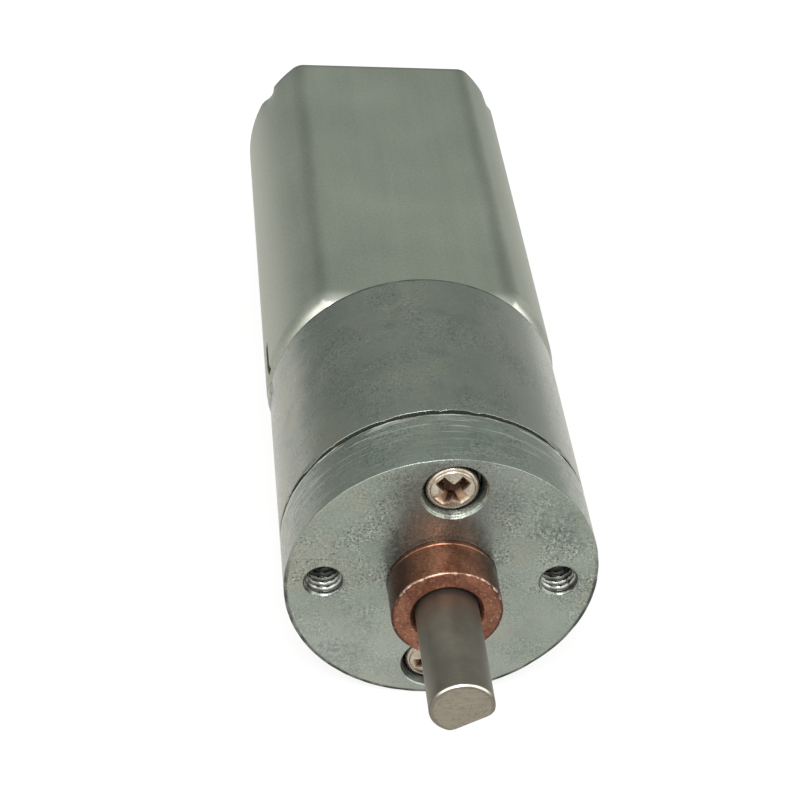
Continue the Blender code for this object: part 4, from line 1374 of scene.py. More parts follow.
@dataclass
class GearHousing:
    """The die-cast cup behind the cover, with screw bosses and its casting gate."""

    layout: Layout
    wall: float = 1.1 * MM
    floor: float = 2.2 * MM
    pilot: float = 3.095 * MM
    edge: float = 0.16 * MM
    seam_depth: float = 0.45 * MM
    seam_width: float = 0.30 * MM
    seam_root: float = 0.03 * MM
    seam_edge: float = 0.04 * MM
    worn_band: float = 0.3 * MM
    chip: float = 0.16 * MM
    chip_coarse: float = 900.0
    chip_fine: float = 2900.0
    fine_share: float = 0.7
    chip_least: float = 0.05
    chip_band: float = 1.2
    screw_circle: float = 7.30 * MM
    boss: float = 1.7 * MM
    boss_gap: float = 0.02 * MM
    thread: float = 1.05 * MM
    thread_end: float = 9.1 * MM
    motor_screw_circle: float = 5.2 * MM
    motor_screw_head: float = 1.55 * MM
    motor_screw_sunk: float = 0.94 * MM
    pin_hole: float = 0.62 * MM
    pin_depth: float = 1.52 * MM
    gate_proud: float = 0.15 * MM
    gate_root: float = 0.02 * MM
    gate_length: float = 1.4 * MM
    gate_width: float = 1.9 * MM
    gate_slope: float = 2.5
    gate_least: float = 0.05
    gate_crown: float = 0.4
    gate_angle: float = math.radians(178.6)
    gate_steps: int = 5
    no_rim: float = 1.0 * MM

    def build(self) -> None:
        """Make the housing."""
        lay = self.layout
        inner = lay.radius - self.wall
        floor = lay.housing_back - self.floor
        groove = lay.radius - self.seam_depth
        ledge = lay.housing_front + self.seam_width
        corners = [(inner, lay.housing_front, 0.0), (groove, lay.housing_front, 0.0),
                   (groove, ledge, self.seam_root), (lay.radius, ledge, self.seam_edge),
                   (lay.radius, ledge + self.worn_band, 0.0),
                   (lay.radius, lay.housing_back, self.edge), (self.pilot, lay.housing_back, 0.0),
                   (self.pilot, floor, 0.0), (inner, floor, 0.0)]
        housing = Shop.revolve("housing_cup", Shop.rounded(corners, True), (0.0, lay.axis_z), RIM_FACETS)
        Shop.combine(housing, [*self._bosses(floor), self._gate()], Fill.JOIN)
        Shop.combine(housing, self._holes(floor), Fill.CUT)
        self._chip(housing, ledge)
        Shop.shade(housing)
        # The rim's marks are put outside the cup, whose rim has no rub marks.
        finish = CupZinc(
            name="cast_zinc_housing", centre=(0.0, lay.housing_front, lay.axis_z),
            radius=lay.radius + self.no_rim, length=lay.housing_back - lay.housing_front,
            dark=(0.191, 0.214, 0.196), light=(0.282, 0.296, 0.261),
            roughness=0.24, cloud=1.1, speckle=0.55, rubs=0.0, relief=0.16, stain=0.36)
        present(housing, finish, Body.HOUSING, "die_cast_zinc_housing", "gear_housing")

    def _chip(self, housing: bpy.types.Object, ledge: float) -> None:
        """Chip the seam's edge here and there.

        Args:
            housing: The cup.
            ledge: Where the edge lies.
        """
        lay = self.layout
        for vert in housing.data.vertices:
            x, y, z = vert.co.x, vert.co.y, vert.co.z - lay.axis_z
            radius = math.hypot(x, z)
            at_edge = abs(y - ledge) <= self.chip_band * self.seam_edge
            if radius < lay.radius - self.seam_depth / 2 or not at_edge:
                continue
            place = Vector((x, 0.0, z))
            fine = self.fine_share * noise.noise(place * self.chip_fine)
            chip = max(0.0, noise.noise(place * self.chip_coarse) + fine - self.chip_least) * self.chip
            vert.co.x -= chip * x / radius
            vert.co.z -= chip * z / radius

    def _bosses(self, floor: float) -> list[bpy.types.Object]:
        """Make the two screw bosses, which run into the wall.

        Args:
            floor: Where the inside of the floor lies.

        Returns:
            The bosses.
        """
        lay = self.layout
        ends = (lay.housing_front + self.boss_gap, floor + self.floor / 2)
        return [Shop.rod(f"boss_{side}", self.boss, ends, (0.0, lay.axis_z + side * self.screw_circle),
                         SOCKET_FACETS)
                for side in SIDES]

    def _gate(self) -> bpy.types.Object:
        """Make the low pad that the casting gate leaves at the rear edge.

        Returns:
            The pad, with its root in the wall.
        """
        lay = self.layout
        inner = lay.radius - self.wall / 2
        back = lay.housing_back - self.edge
        front = back - self.gate_length
        rings = []
        for step in range(-self.gate_steps, self.gate_steps + 1):
            across = step / self.gate_steps
            rise = min(1.0, self.gate_slope * (1 - abs(across)) + self.gate_least)
            crown = lay.radius + self.gate_proud * rise
            angle = self.gate_angle + across * self.gate_width / (2 * lay.radius)
            section = [(inner, front), (lay.radius - self.gate_root, front),
                       (crown, back - self.gate_crown * self.gate_length), (crown, back), (inner, back)]
            rings.append([(reach * math.cos(angle), y, lay.axis_z + reach * math.sin(angle))
                          for reach, y in section])
        return Shop.strip("gate", rings)

    def _holes(self, floor: float) -> list[bpy.types.Object]:
        """Make the cutters for screws and pins.

        Args:
            floor: Where the inside of the floor lies.

        Returns:
            The cutters.
        """
        lay = self.layout
        seat = floor + self.motor_screw_sunk
        sunk = [(0.0, floor - OVER), (self.motor_screw_head, floor - OVER), (self.motor_screw_head, seat),
                (self.thread, seat), (self.thread, lay.housing_back + OVER), (0.0, lay.housing_back + OVER)]
        tapped = (lay.housing_front - OVER, lay.face + self.thread_end)
        tools = []
        for side in SIDES:
            tools.append(Shop.rod(f"tapping_{side}", self.thread, tapped,
                                  (0.0, lay.axis_z + side * self.screw_circle), HOLE_FACETS))
            tools.append(Shop.revolve(f"sunk_{side}", sunk, (side * self.motor_screw_circle, lay.axis_z),
                                      HOLE_FACETS))
        for name in ("gear_pin_a", "gear_pin_b"):
            low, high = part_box(name)
            axis = ((low[0] + high[0]) / 2, (low[2] + high[2]) / 2)
            ends = (floor - OVER, floor + self.pin_depth)
            tools.append(Shop.rod(f"{name}_hole", self.pin_hole, ends, axis, HOLE_FACETS))
        return tools


@dataclass
class OutputShaft:
    """The ground shaft with its D flat, chamfered tip and the bronze bushing round it."""

    layout: Layout
    radius: float = 2.0 * MM
    chamfer: float = 0.10 * MM
    chamfer_fillet: float = 0.05 * MM
    tip_fillet: float = 0.03 * MM
    flat_depth: float = 0.65 * MM
    flat_length: float = 7.5 * MM
    flat_angle: float = math.radians(-59.5)
    flat_blend: float = 0.28 * MM
    flat_run_out: float = 0.05 * MM
    flat_slack: float = 0.01 * MM
    flat_lean: float = 0.1
    nub: float = 0.35 * MM
    nub_foot: float = 1.2
    nub_height: float = 0.03 * MM
    nub_fillet: float = 0.02 * MM
    bushing_radius: float = 3.5 * MM
    bushing_bore: float = 2.05 * MM
    bushing_edge: float = 0.07 * MM
    bushing_bore_chamfer: float = 0.28 * MM
    bushing_bore_fillet: float = 0.04 * MM
    bushing_mouth_fillet: float = 0.05 * MM
    foot_groove: float = 0.07 * MM
    foot_fillet: float = 0.02 * MM
    foot_place: float = 0.34 * MM

    def build(self) -> None:
        """Make the shaft and the bushing."""
        self._shaft()
        self._bushing()

    def _shaft(self) -> None:
        """Make the shaft."""
        lay = self.layout
        tip = lay.shaft_tip
        end = tip + self.nub_height
        step = tip + self.flat_length
        corners = [(0.0, tip, 0.0), (self.nub, tip, self.nub_fillet), (self.nub * self.nub_foot, end, 0.0),
                   (self.radius - self.chamfer, end, self.tip_fillet),
                   (self.radius, end + self.chamfer, self.chamfer_fillet),
                   (self.radius, step, 0.0), (self.radius, step + self.flat_run_out, 0.0),
                   (self.radius, lay.shaft_back, self.chamfer_fillet), (0.0, lay.shaft_back, 0.0)]
        shaft = Shop.revolve("shaft", Shop.rounded(corners, False), (0.0, lay.axis_z), SHAFT_FACETS)
        self._flatten(shaft, step)
        Shop.shade(shaft)
        finish = GroundSteel(name="ground_steel_shaft", centre=(0.0, tip, lay.axis_z),
                             radius=self.radius, dark=(0.141, 0.128, 0.108), light=(0.242, 0.221, 0.185),
                             roughness=0.44, grain=0.4)
        present(shaft, finish, Body.OUTPUT, "shaft_steel", "output_shaft")

    def _flatten(self, shaft: bpy.types.Object, end: float) -> None:
        """Press the D flat into the round shaft, with soft edges.

        Args:
            shaft: The round shaft.
            end: Where the flat ends.
        """
        axis_z = self.layout.axis_z
        for vert in shaft.data.vertices:
            reach = math.hypot(vert.co.x, vert.co.z - axis_z)
            lean = math.cos(math.atan2(vert.co.z - axis_z, vert.co.x) - self.flat_angle)
            if vert.co.y > end + self.flat_slack or lean <= self.flat_lean or reach == 0.0:
                continue
            flat = (self.radius - self.flat_depth) / lean
            blend = max(0.0, self.flat_blend - abs(reach - flat)) / self.flat_blend
            held = (min(reach, flat) - blend * blend * self.flat_blend / 4) / reach
            vert.co.x *= held
            vert.co.z = axis_z + (vert.co.z - axis_z) * held

    def _bushing(self) -> None:
        """Make the bushing."""
        lay = self.layout
        radius = self.bushing_radius
        foot = lay.face - self.foot_place
        groove = self.foot_groove
        chamfer = self.bushing_bore_chamfer
        corners = [(self.bushing_bore, lay.bushing_front + chamfer, self.bushing_bore_fillet),
                   (self.bushing_bore + chamfer, lay.bushing_front, self.bushing_mouth_fillet),
                   (radius, lay.bushing_front, self.bushing_edge),
                   (radius, foot - groove, self.foot_fillet), (radius - groove, foot, self.foot_fillet),
                   (radius, foot + groove, self.foot_fillet), (radius, lay.cover_back, 0.0),
                   (self.bushing_bore, lay.cover_back, 0.0)]
        bushing = Shop.revolve("bushing", Shop.rounded(corners, True), (0.0, lay.axis_z), BUSHING_FACETS)
        Shop.shade(bushing)
        finish = SinteredBronze(name="sintered_bronze_bushing", centre=(0.0, lay.bushing_front, lay.axis_z),
                                radius=radius, dark=(0.16, 0.06, 0.036), light=(0.36, 0.165, 0.105))
        present(bushing, finish, Body.HOUSING, "sintered_bronze", "output_bushing")


@dataclass
class CoverScrews:
    """The two pan-head screws with a cross recess, copied to their places by a tree."""

    layout: Layout
    head_radius: float = 1.72 * MM
    head_height: float = 1.40 * MM
    dome: float = 0.42 * MM
    sunk: float = 0.14 * MM
    shank: float = 1.0 * MM
    length: float = 7.0 * MM
    seat_fillet: float = 0.12 * MM
    end_fillet: float = 0.1 * MM
    recess_half: float = 0.40 * MM
    recess_reach: float = 1.36 * MM
    recess_depth: float = 0.80 * MM
    recess_taper: float = 0.45
    recess_narrow: float = 0.8
    recess_over: float = 0.05 * MM
    recess_turn: float = math.radians(42.0)
    lower_turn: float = 0.55
    well_mouth: float = 1.7
    well_foot: float = 1.25
    well_point: float = 0.25 * MM
    well_over: float = 0.5 * MM
    soft_edge: float = 0.035 * MM
    soft_angle: float = math.radians(35)
    sharp_angle: float = 40.0
    circle: float = 7.30 * MM

    def build(self) -> None:
        """Make both screws as one piece."""
        finish = GrimyShadedScrew(
            name="nickel_screw_head", bright=(0.55, 0.488, 0.41), dull=(0.39, 0.333, 0.272),
            roughness=0.24, centre=self.layout.centre(), circle=self.circle, sunk=self.sunk,
            reach=self.recess_reach)
        pattern = self._screw()
        tree = self._pair_tree(pattern, finish)
        sizes = {"Circle": self.circle, "Face": self.layout.face, "Axis": self.layout.axis_z,
                 "Turn": self.recess_turn}
        screws = Shop.grown("cover_screws", tree, sizes)
        bpy.data.objects.remove(pattern, do_unlink=True)
        Shop.shade(screws, self.sharp_angle)
        present(screws, finish, Body.HOUSING, "nickel_screw", "cover_screw_1", "cover_screw_2")

    def _screw(self) -> bpy.types.Object:
        """Make one screw on the Y axis, with the cover's face at 0.

        Returns:
            The screw, with its recess and soft edges.
        """
        radius, dome, top = self.head_radius, self.dome, self.sunk
        seat = top + self.head_height
        corners = [(0.0, top, 0.0), (radius * 0.55, top + dome * 0.12, 0.4 * MM),
                   (radius * 0.79, top + dome * 0.50, 0.02 * MM),
                   (radius * 0.82, top + dome * 0.63, 0.02 * MM),
                   (radius * 0.86, top + dome * 0.60, 0.02 * MM),
                   (radius * 0.97, top + dome * 0.80, 0.22 * MM),
                   (radius, seat, self.seat_fillet), (self.shank, seat, 0.0),
                   (self.shank, seat + self.length, self.end_fillet), (0.0, seat + self.length, 0.0)]
        profile = Shop.rounded(corners, False, SMALL_FILLET_FACETS)
        screw = Shop.revolve("screw", profile, (0.0, 0.0), SCREW_FACETS)
        Shop.combine(screw, self._recess(top), Fill.CUT)
        soften = screw.modifiers.new("soften", "BEVEL")
        soften.width = self.soft_edge
        soften.segments = 2
        soften.angle_limit = self.soft_angle
        Shop.bake(screw)
        return screw

    def _recess(self, top: float) -> list[bpy.types.Object]:
        """Make the cutters of the cross recess.

        Args:
            top: Where the top of the head lies.

        Returns:
            Two tapered slots and the round well in their middle.
        """
        floor = top + self.recess_depth
        tools = []
        for turn in (0.0, math.pi / 2):
            low = (-self.recess_reach, top - self.recess_over, -self.recess_half)
            slot = Shop.block(f"slot_{turn:.1f}", low, (self.recess_reach, floor, self.recess_half))
            for vert in slot.data.vertices:
                if vert.co.y > top:
                    vert.co.x *= self.recess_taper
                    vert.co.z *= self.recess_narrow
            slot.data.transform(Matrix.Rotation(turn, 4, "Y"))
            tools.append(slot)
        start = top - self.well_over
        well = [(0.0, start), (self.recess_half * self.well_mouth, start),
                (self.recess_half * self.well_foot, floor), (0.0, floor + self.well_point)]
        tools.append(Shop.revolve("well", well, (0.0, 0.0), WELL_FACETS))
        return tools

    def _pair_tree(self, pattern: bpy.types.Object, finish: Finish) -> bpy.types.NodeTree:
        """Make the tree that copies a screw above and below the shaft.

        Args:
            pattern: The screw to copy.
            finish: The screws' surface.

        Returns:
            The tree.
        """
        tree = GrowthTree("screw_pair", dict.fromkeys(("Circle", "Face", "Axis", "Turn"), NUMBER))
        start = tree.join(0.0, tree.size("Face"), tree.size("Axis") - tree.size("Circle"))
        step = tree.join(0.0, 0.0, tree.size("Circle") * 2)
        points = tree.node("GeometryNodeMeshLine", {"mode": "OFFSET"},
                           {"Count": 2, "Start Location": start, "Offset": step})
        screw = tree.node("GeometryNodeObjectInfo", None, {"Object": pattern}, "Geometry")
        index = tree.node("GeometryNodeInputIndex")
        turn = tree.join(0.0, tree.size("Turn") + (1 - index) * self.lower_turn, 0.0)
        pair = tree.node("GeometryNodeInstanceOnPoints", None,
                         {"Points": points, "Instance": screw, "Rotation": turn})
        return tree.finish(pair, finish.material())


@dataclass
class MotorCan:
    """The drawn can: round with two flats, soft corners and shoulder, crimped at the back."""

    layout: Layout
    radius: float
    half_flats: float
    corner: float = 1.3 * MM
    least_corner: float = 0.05 * MM
    side_facets: int = 22
    corner_facets: int = 8
    flat_facets: int = 12
    crease: float = 6.45 * MM
    crease_width: float = 0.85 * MM
    crease_shift: float = 0.22 * MM
    wall: float = 0.8 * MM
    shoulder: float = 1.6 * MM
    shoulder_steps: int = 8
    length_steps: int = 24
    slot_width: float = 0.6 * MM
    slot_start: float = 1.0 * MM
    slot_length: float = 4.1 * MM
    slot_depth: float = 0.5 * MM
    slot_over: float = 1.0 * MM
    slot_angle: float = math.radians(173.5)
    rim: float = 0.2 * MM
    rim_steps: int = 4
    boss: float = 3.07 * MM
    bearing: float = 2.27 * MM
    front_gap: float = 0.02 * MM
    crimp_angle: float = math.radians(29.0)
    crimp_width: float = math.radians(4.6)
    crimp_depth: float = 0.3 * MM
    crimp_length: float = 1.0 * MM
    crimp_rise: float = 1.3

    def build(self) -> None:
        """Make the can."""
        lay = self.layout
        front = lay.housing_back + self.front_gap
        can = Shop.loft("can", self._rings(front))
        self._crimp(can)
        Shop.combine(can, [self._slot(front)], Fill.CUT)
        Shop.shade(can)
        finish = PlatedSteel(
            name="plated_steel", centre=(0.0, front, lay.axis_z), dark=(0.266, 0.285, 0.243),
            light=(0.375, 0.39, 0.337), roughness=0.42, crease=self.crease, crease_width=self.crease_width,
            crease_shift=self.crease_shift, flat=self.half_flats, radius=self.radius,
            length=lay.can_back - front, slot_z=self.radius * math.sin(self.slot_angle),
            slot_half=self.slot_width / 2, slot_start=self.slot_start, slot_end=self.slot_length)
        present(can, finish, Body.HOUSING, "plated_steel_can", "motor_can")

    def _rings(self, front: float) -> list[list[Corner]]:
        """Return the can's skin, from the boss over the outside to the rim and back inside.

        Args:
            front: Where the can's front lies.

        Returns:
            The rings.
        """
        lay = self.layout
        inside = front + self.wall
        rings = [self.circle(self.boss, lay.can_boss), self.circle(self.boss, front),
                 self.ring(self.shoulder, front)]
        for step in range(1, self.shoulder_steps + 1):
            lean = math.pi / 2 * step / self.shoulder_steps
            place = front + self.shoulder * (1 - math.cos(lean))
            rings.append(self.ring(self.shoulder * (1 - math.sin(lean)), place))
        length = lay.can_back - self.rim - front - self.shoulder
        for step in range(1, self.length_steps + 1):
            rings.append(self.ring(0.0, front + self.shoulder + length * step / self.length_steps))
        for step in range(1, self.rim_steps + 1):
            lean = math.pi / 2 * step / self.rim_steps
            place = lay.can_back - self.rim * (1 - math.sin(lean))
            rings.append(self.ring(self.rim * (1 - math.cos(lean)), place))
        rings += [self.ring(self.wall, lay.can_back), self.ring(self.wall, inside)]
        rings += [self.circle(self.bearing, inside), self.circle(self.bearing, lay.can_boss)]
        return rings

    def ring(self, offset: float, y: float) -> list[Corner]:
        """Return the can's outline, moved inwards.

        Args:
            offset: How far inwards.
            y: Where along the axis.

        Returns:
            The ring's points, the same count for each offset.
        """
        radius, flat = self.radius - offset, self.half_flats - offset
        corner = max(self.corner - offset, self.least_corner)
        corner_z = flat - corner
        corner_x = math.sqrt((radius - corner) ** 2 - corner_z ** 2)
        side = math.atan2(corner_z, corner_x)
        leans = [side * index / self.side_facets for index in range(self.side_facets)]
        quarter = [(radius * math.cos(lean), radius * math.sin(lean)) for lean in leans]
        leans = [side + (math.pi / 2 - side) * index / self.corner_facets
                 for index in range(self.corner_facets + 1)]
        quarter += [(corner_x + corner * math.cos(lean), corner_z + corner * math.sin(lean))
                    for lean in leans]
        quarter += [(corner_x * (1 - index / self.flat_facets), flat)
                    for index in range(1, self.flat_facets)]
        half = quarter + [(0.0, flat)] + [(-u, v) for u, v in reversed(quarter)][:-1]
        whole = half + [(-u, -v) for u, v in half]
        return [(u, y, self.layout.axis_z + v) for u, v in whole]

    def circle(self, radius: float, y: float) -> list[Corner]:
        """Return a round ring with a point in line with each point of the outline.

        Args:
            radius: The ring's radius.
            y: Where along the axis.

        Returns:
            The ring's points.
        """
        points = []
        for x, _, z in self.ring(0.0, y):
            angle = math.atan2(z - self.layout.axis_z, x)
            points.append((radius * math.cos(angle), y, self.layout.axis_z + radius * math.sin(angle)))
        return points

    def _slot(self, front: float) -> bpy.types.Object:
        """Make the cutter of the narrow slot in the can's left side.

        Args:
            front: Where the can's front lies.

        Returns:
            The cutter.
        """
        axis_z = self.layout.axis_z
        low = (self.radius - self.slot_depth, front + self.slot_start, axis_z - self.slot_width / 2)
        high = (self.radius + self.slot_over, front + self.slot_length, axis_z + self.slot_width / 2)
        return Shop.turn(Shop.block("slot", low, high), self.slot_angle, axis_z)

    def _crimp(self, can: bpy.types.Object) -> None:
        """Press the four dents that hold the end cap into the rim.

        Args:
            can: The can.
        """
        lay = self.layout
        angles = [self.crimp_angle, math.pi - self.crimp_angle,
                  math.pi + self.crimp_angle, -self.crimp_angle]
        for vert in can.data.vertices:
            x, y, z = vert.co.x, vert.co.y, vert.co.z - lay.axis_z
            along = (y - (lay.can_back - self.crimp_length)) / self.crimp_length
            radius = math.hypot(x, z)
            if along <= 0.0 or radius < self.radius - self.wall / 2:
                continue
            for angle in angles:
                off = abs(math.remainder(math.atan2(z, x) - angle, 2 * math.pi)) / self.crimp_width
                press = self.crimp_depth * max(0.0, 1 - off ** 2) * min(1.0, along * self.crimp_rise)
                vert.co.x -= press * x / radius
                vert.co.z -= press * z / radius


@dataclass
class EndCap:
    """The moulded end cap with its bearing boss, and the two terminals through it."""

    layout: Layout
    can_radius: float = 9.35 * MM
    half_flats: float = 6.85 * MM
    corner: float = 0.45 * MM
    proud: float = 0.3 * MM
    edge: float = 0.2 * MM
    edge_steps: int = 4
    boss: float = 3.07 * MM
    boss_root: float = 1.0 * MM
    boss_edge: float = 0.25 * MM
    boss_floor: float = 0.7 * MM
    pocket: float = 2.27 * MM
    recess_outer: float = 5.6 * MM
    recess_inner: float = 4.0 * MM
    recess_depth: float = 0.5 * MM
    recess_break: float = 2.2 * MM
    slot_gap: float = 0.02 * MM
    eye: float = 0.55 * MM
    terminal_corner: float = 0.55 * MM
    terminal_facets: int = 5
    terminal_end: float = 0.1 * MM
    tool_reach: float = 1.0 * MM

    def build(self) -> None:
        """Make the cap and its terminals."""
        self._cap()
        for side in ("left", "right"):
            self._terminal(side)

    def _cap(self) -> None:
        """Make the cap."""
        lay = self.layout
        can = MotorCan(lay, self.can_radius, self.half_flats, self.corner)
        back = lay.can_back + self.proud
        rings = [can.ring(0.0, lay.cap_inside)]
        for step in range(self.edge_steps + 1):
            lean = math.pi / 2 * step / self.edge_steps
            place = back - self.edge * (1 - math.sin(lean))
            rings.append(can.ring(self.edge * (1 - math.cos(lean)), place))
        rings += [can.circle(self.pocket / 2, back), can.circle(self.pocket / 2, lay.cap_inside)]
        cap = Shop.loft("cap", rings)
        root = lay.cap_inside + self.boss_root
        corners = [(0.0, root, 0.0), (self.boss, root, 0.0),
                   (self.boss, lay.boss_back, self.boss_edge), (0.0, lay.boss_back, 0.0)]
        boss = Shop.revolve("boss", Shop.rounded(corners, False), (0.0, lay.axis_z), BOSS_FACETS)
        Shop.combine(cap, [boss], Fill.JOIN)
        Shop.combine(cap, self._hollows(back), Fill.CUT)
        Shop.shade(cap)
        finish = Moulded(name="moulded_nylon", dark=(0.018, 0.018, 0.018), light=(0.042, 0.042, 0.04),
                         roughness=0.45)
        present(cap, finish, Body.HOUSING, "nylon", "end_cap")

    def _hollows(self, back: float) -> list[bpy.types.Object]:
        """Make the cutters of the bearing pocket, the two arc recesses and the terminals' slots.

        Args:
            back: Where the cap's back lies.

        Returns:
            The cutters.
        """
        lay = self.layout
        axis = (0.0, lay.axis_z)
        ends = (lay.cap_inside - OVER, lay.boss_back - self.boss_floor)
        pocket = Shop.rod("pocket", self.pocket, ends, axis, SOCKET_FACETS)
        floor = back - self.recess_depth
        groove = [(self.recess_inner, floor), (self.recess_outer, floor),
                  (self.recess_outer, back + OVER), (self.recess_inner, back + OVER)]
        recess = Shop.revolve("groove", groove, axis, BOSS_FACETS)
        low = (-self.can_radius, back - self.tool_reach, lay.axis_z - self.recess_break)
        high = (self.can_radius, back + self.tool_reach, lay.axis_z + self.recess_break)
        Shop.combine(recess, [Shop.block("keep", low, high)], Fill.CUT)
        tools = [pocket, recess]
        gap = self.slot_gap
        for side in ("left", "right"):
            low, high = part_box(f"terminal_{side}")
            tools.append(Shop.block(f"slot_{side}", (low[0] - gap, lay.cap_inside - OVER, low[2] - gap),
                                    (high[0] + gap, back + OVER, high[2] + gap)))
        return tools

    def _terminal(self, side: str) -> None:
        """Make a terminal: a tinned tab with rounded corners and an eye.

        Args:
            side: Which of the two.
        """
        low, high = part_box(f"terminal_{side}")
        tab = Shop.block(f"tab_{side}", low, high)
        layer = tab.data.attributes.new("bevel_weight_edge", "FLOAT", "EDGE")
        for edge in tab.data.edges:
            ends = [tab.data.vertices[index].co for index in edge.vertices]
            across = abs(ends[0].x - ends[1].x) > (high[0] - low[0]) / 2
            at_end = ends[0].y > high[1] - self.terminal_end
            layer.data[edge.index].value = 1.0 if across and at_end else 0.0
        corner = tab.modifiers.new("corner", "BEVEL")
        corner.limit_method = "WEIGHT"
        corner.width = self.terminal_corner
        corner.segments = self.terminal_facets
        Shop.bake(tab)
        middle = (0.0, high[1] - (high[2] - low[2]) / 2, (low[2] + high[2]) / 2)
        span = (low[0] - self.tool_reach, high[0] + self.tool_reach)
        eye = Shop.rod("eye", self.eye, span, (0.0, 0.0), HOLE_FACETS)
        eye.data.transform(Matrix.Translation(middle) @ Matrix.Rotation(-math.pi / 2, 4, "Z"))
        Shop.combine(tab, [eye], Fill.CUT)
        Shop.shade(tab)
        finish = NickelScrew(name="tinned_terminal", bright=(0.66, 0.64, 0.58), dull=(0.47, 0.45, 0.40),
                             roughness=0.3)
        present(tab, finish, Body.HOUSING, "tinned_brass", f"terminal_{side}")


@dataclass
class InsidePieces:
    """The finishes of the pieces inside, which keep their CAD shape."""

    frame: dict

    def dress(self) -> None:
        """Give each inner node its finish."""
        finishes = [*self._metals(), *self._mouldings()]
        for name, node in self.frame["nodes"].items():
            for finish, starts in finishes:
                if name.startswith(starts):
                    node.data.materials.clear()
                    node.data.materials.append(finish.material())
                    LOG.info("%s keeps its CAD shape in %s", name, finish.name)

    @staticmethod
    def _metals() -> list[tuple[Finish, tuple[str, ...]]]:
        """Return the finishes of cut, rolled and wound metal.

        Returns:
            Each finish with the starts of its nodes' names.
        """
        steel = Striped("inner_steel", dark=(0.30, 0.29, 0.27), light=(0.52, 0.50, 0.47),
                        roughness=0.3, pitch=0.3 * MM, depth=0.004 * MM)
        gear = Striped("gear_steel_cut", dark=(0.26, 0.25, 0.23), light=(0.46, 0.44, 0.41),
                       roughness=0.36, pitch=0.18 * MM, depth=0.006 * MM)
        core = Striped("core_sheets", dark=(0.10, 0.10, 0.105), light=(0.24, 0.24, 0.25),
                       roughness=0.5, pitch=0.5 * MM, depth=0.03 * MM)
        wire = Striped("winding_wire", dark=(0.34, 0.11, 0.045), light=(0.68, 0.30, 0.14),
                       roughness=0.32, pitch=0.24 * MM, depth=0.06 * MM)
        copper = Striped("commutator_copper", dark=(0.45, 0.19, 0.10), light=(0.72, 0.36, 0.20),
                         roughness=0.28, pitch=0.12 * MM, depth=0.004 * MM)
        brass = Striped("cut_brass", dark=(0.50, 0.35, 0.13), light=(0.78, 0.59, 0.27),
                        roughness=0.28, pitch=0.18 * MM, depth=0.005 * MM)
        return [(steel, ("motor_shaft", "gear_pin", "pin_", "output_washer", "motor_screw")),
                (gear, ("output_wheel", "compound_gear")), (core, ("rotor_core",)), (wire, ("winding",)),
                (copper, ("commutator_segment",)), (brass, ("motor_pinion", "brush_spring"))]

    @staticmethod
    def _mouldings() -> list[tuple[Finish, tuple[str, ...]]]:
        """Return the finishes of what is pressed or moulded.

        Returns:
            Each finish with the starts of its nodes' names.
        """
        bronze = Moulded("sintered_bearing", dark=(0.24, 0.10, 0.06), light=(0.50, 0.25, 0.16),
                         roughness=0.45, metallic=0.9, grain=0.6)
        resin = Moulded("dark_resin", dark=(0.03, 0.03, 0.035), light=(0.075, 0.07, 0.07), roughness=0.45)
        ferrite = Moulded("ferrite_magnet", dark=(0.035, 0.036, 0.04), light=(0.09, 0.09, 0.095),
                          roughness=0.65, grain=0.6)
        carbon = Moulded("pressed_carbon", dark=(0.02, 0.02, 0.02), light=(0.06, 0.055, 0.05),
                         roughness=0.5, metallic=0.2, grain=0.5)
        return [(bronze, ("front_bearing", "rear_bearing")), (resin, ("commutator_hub", "rotor_washer")),
                (ferrite, ("magnet",)), (carbon, ("brush_left", "brush_right"))]


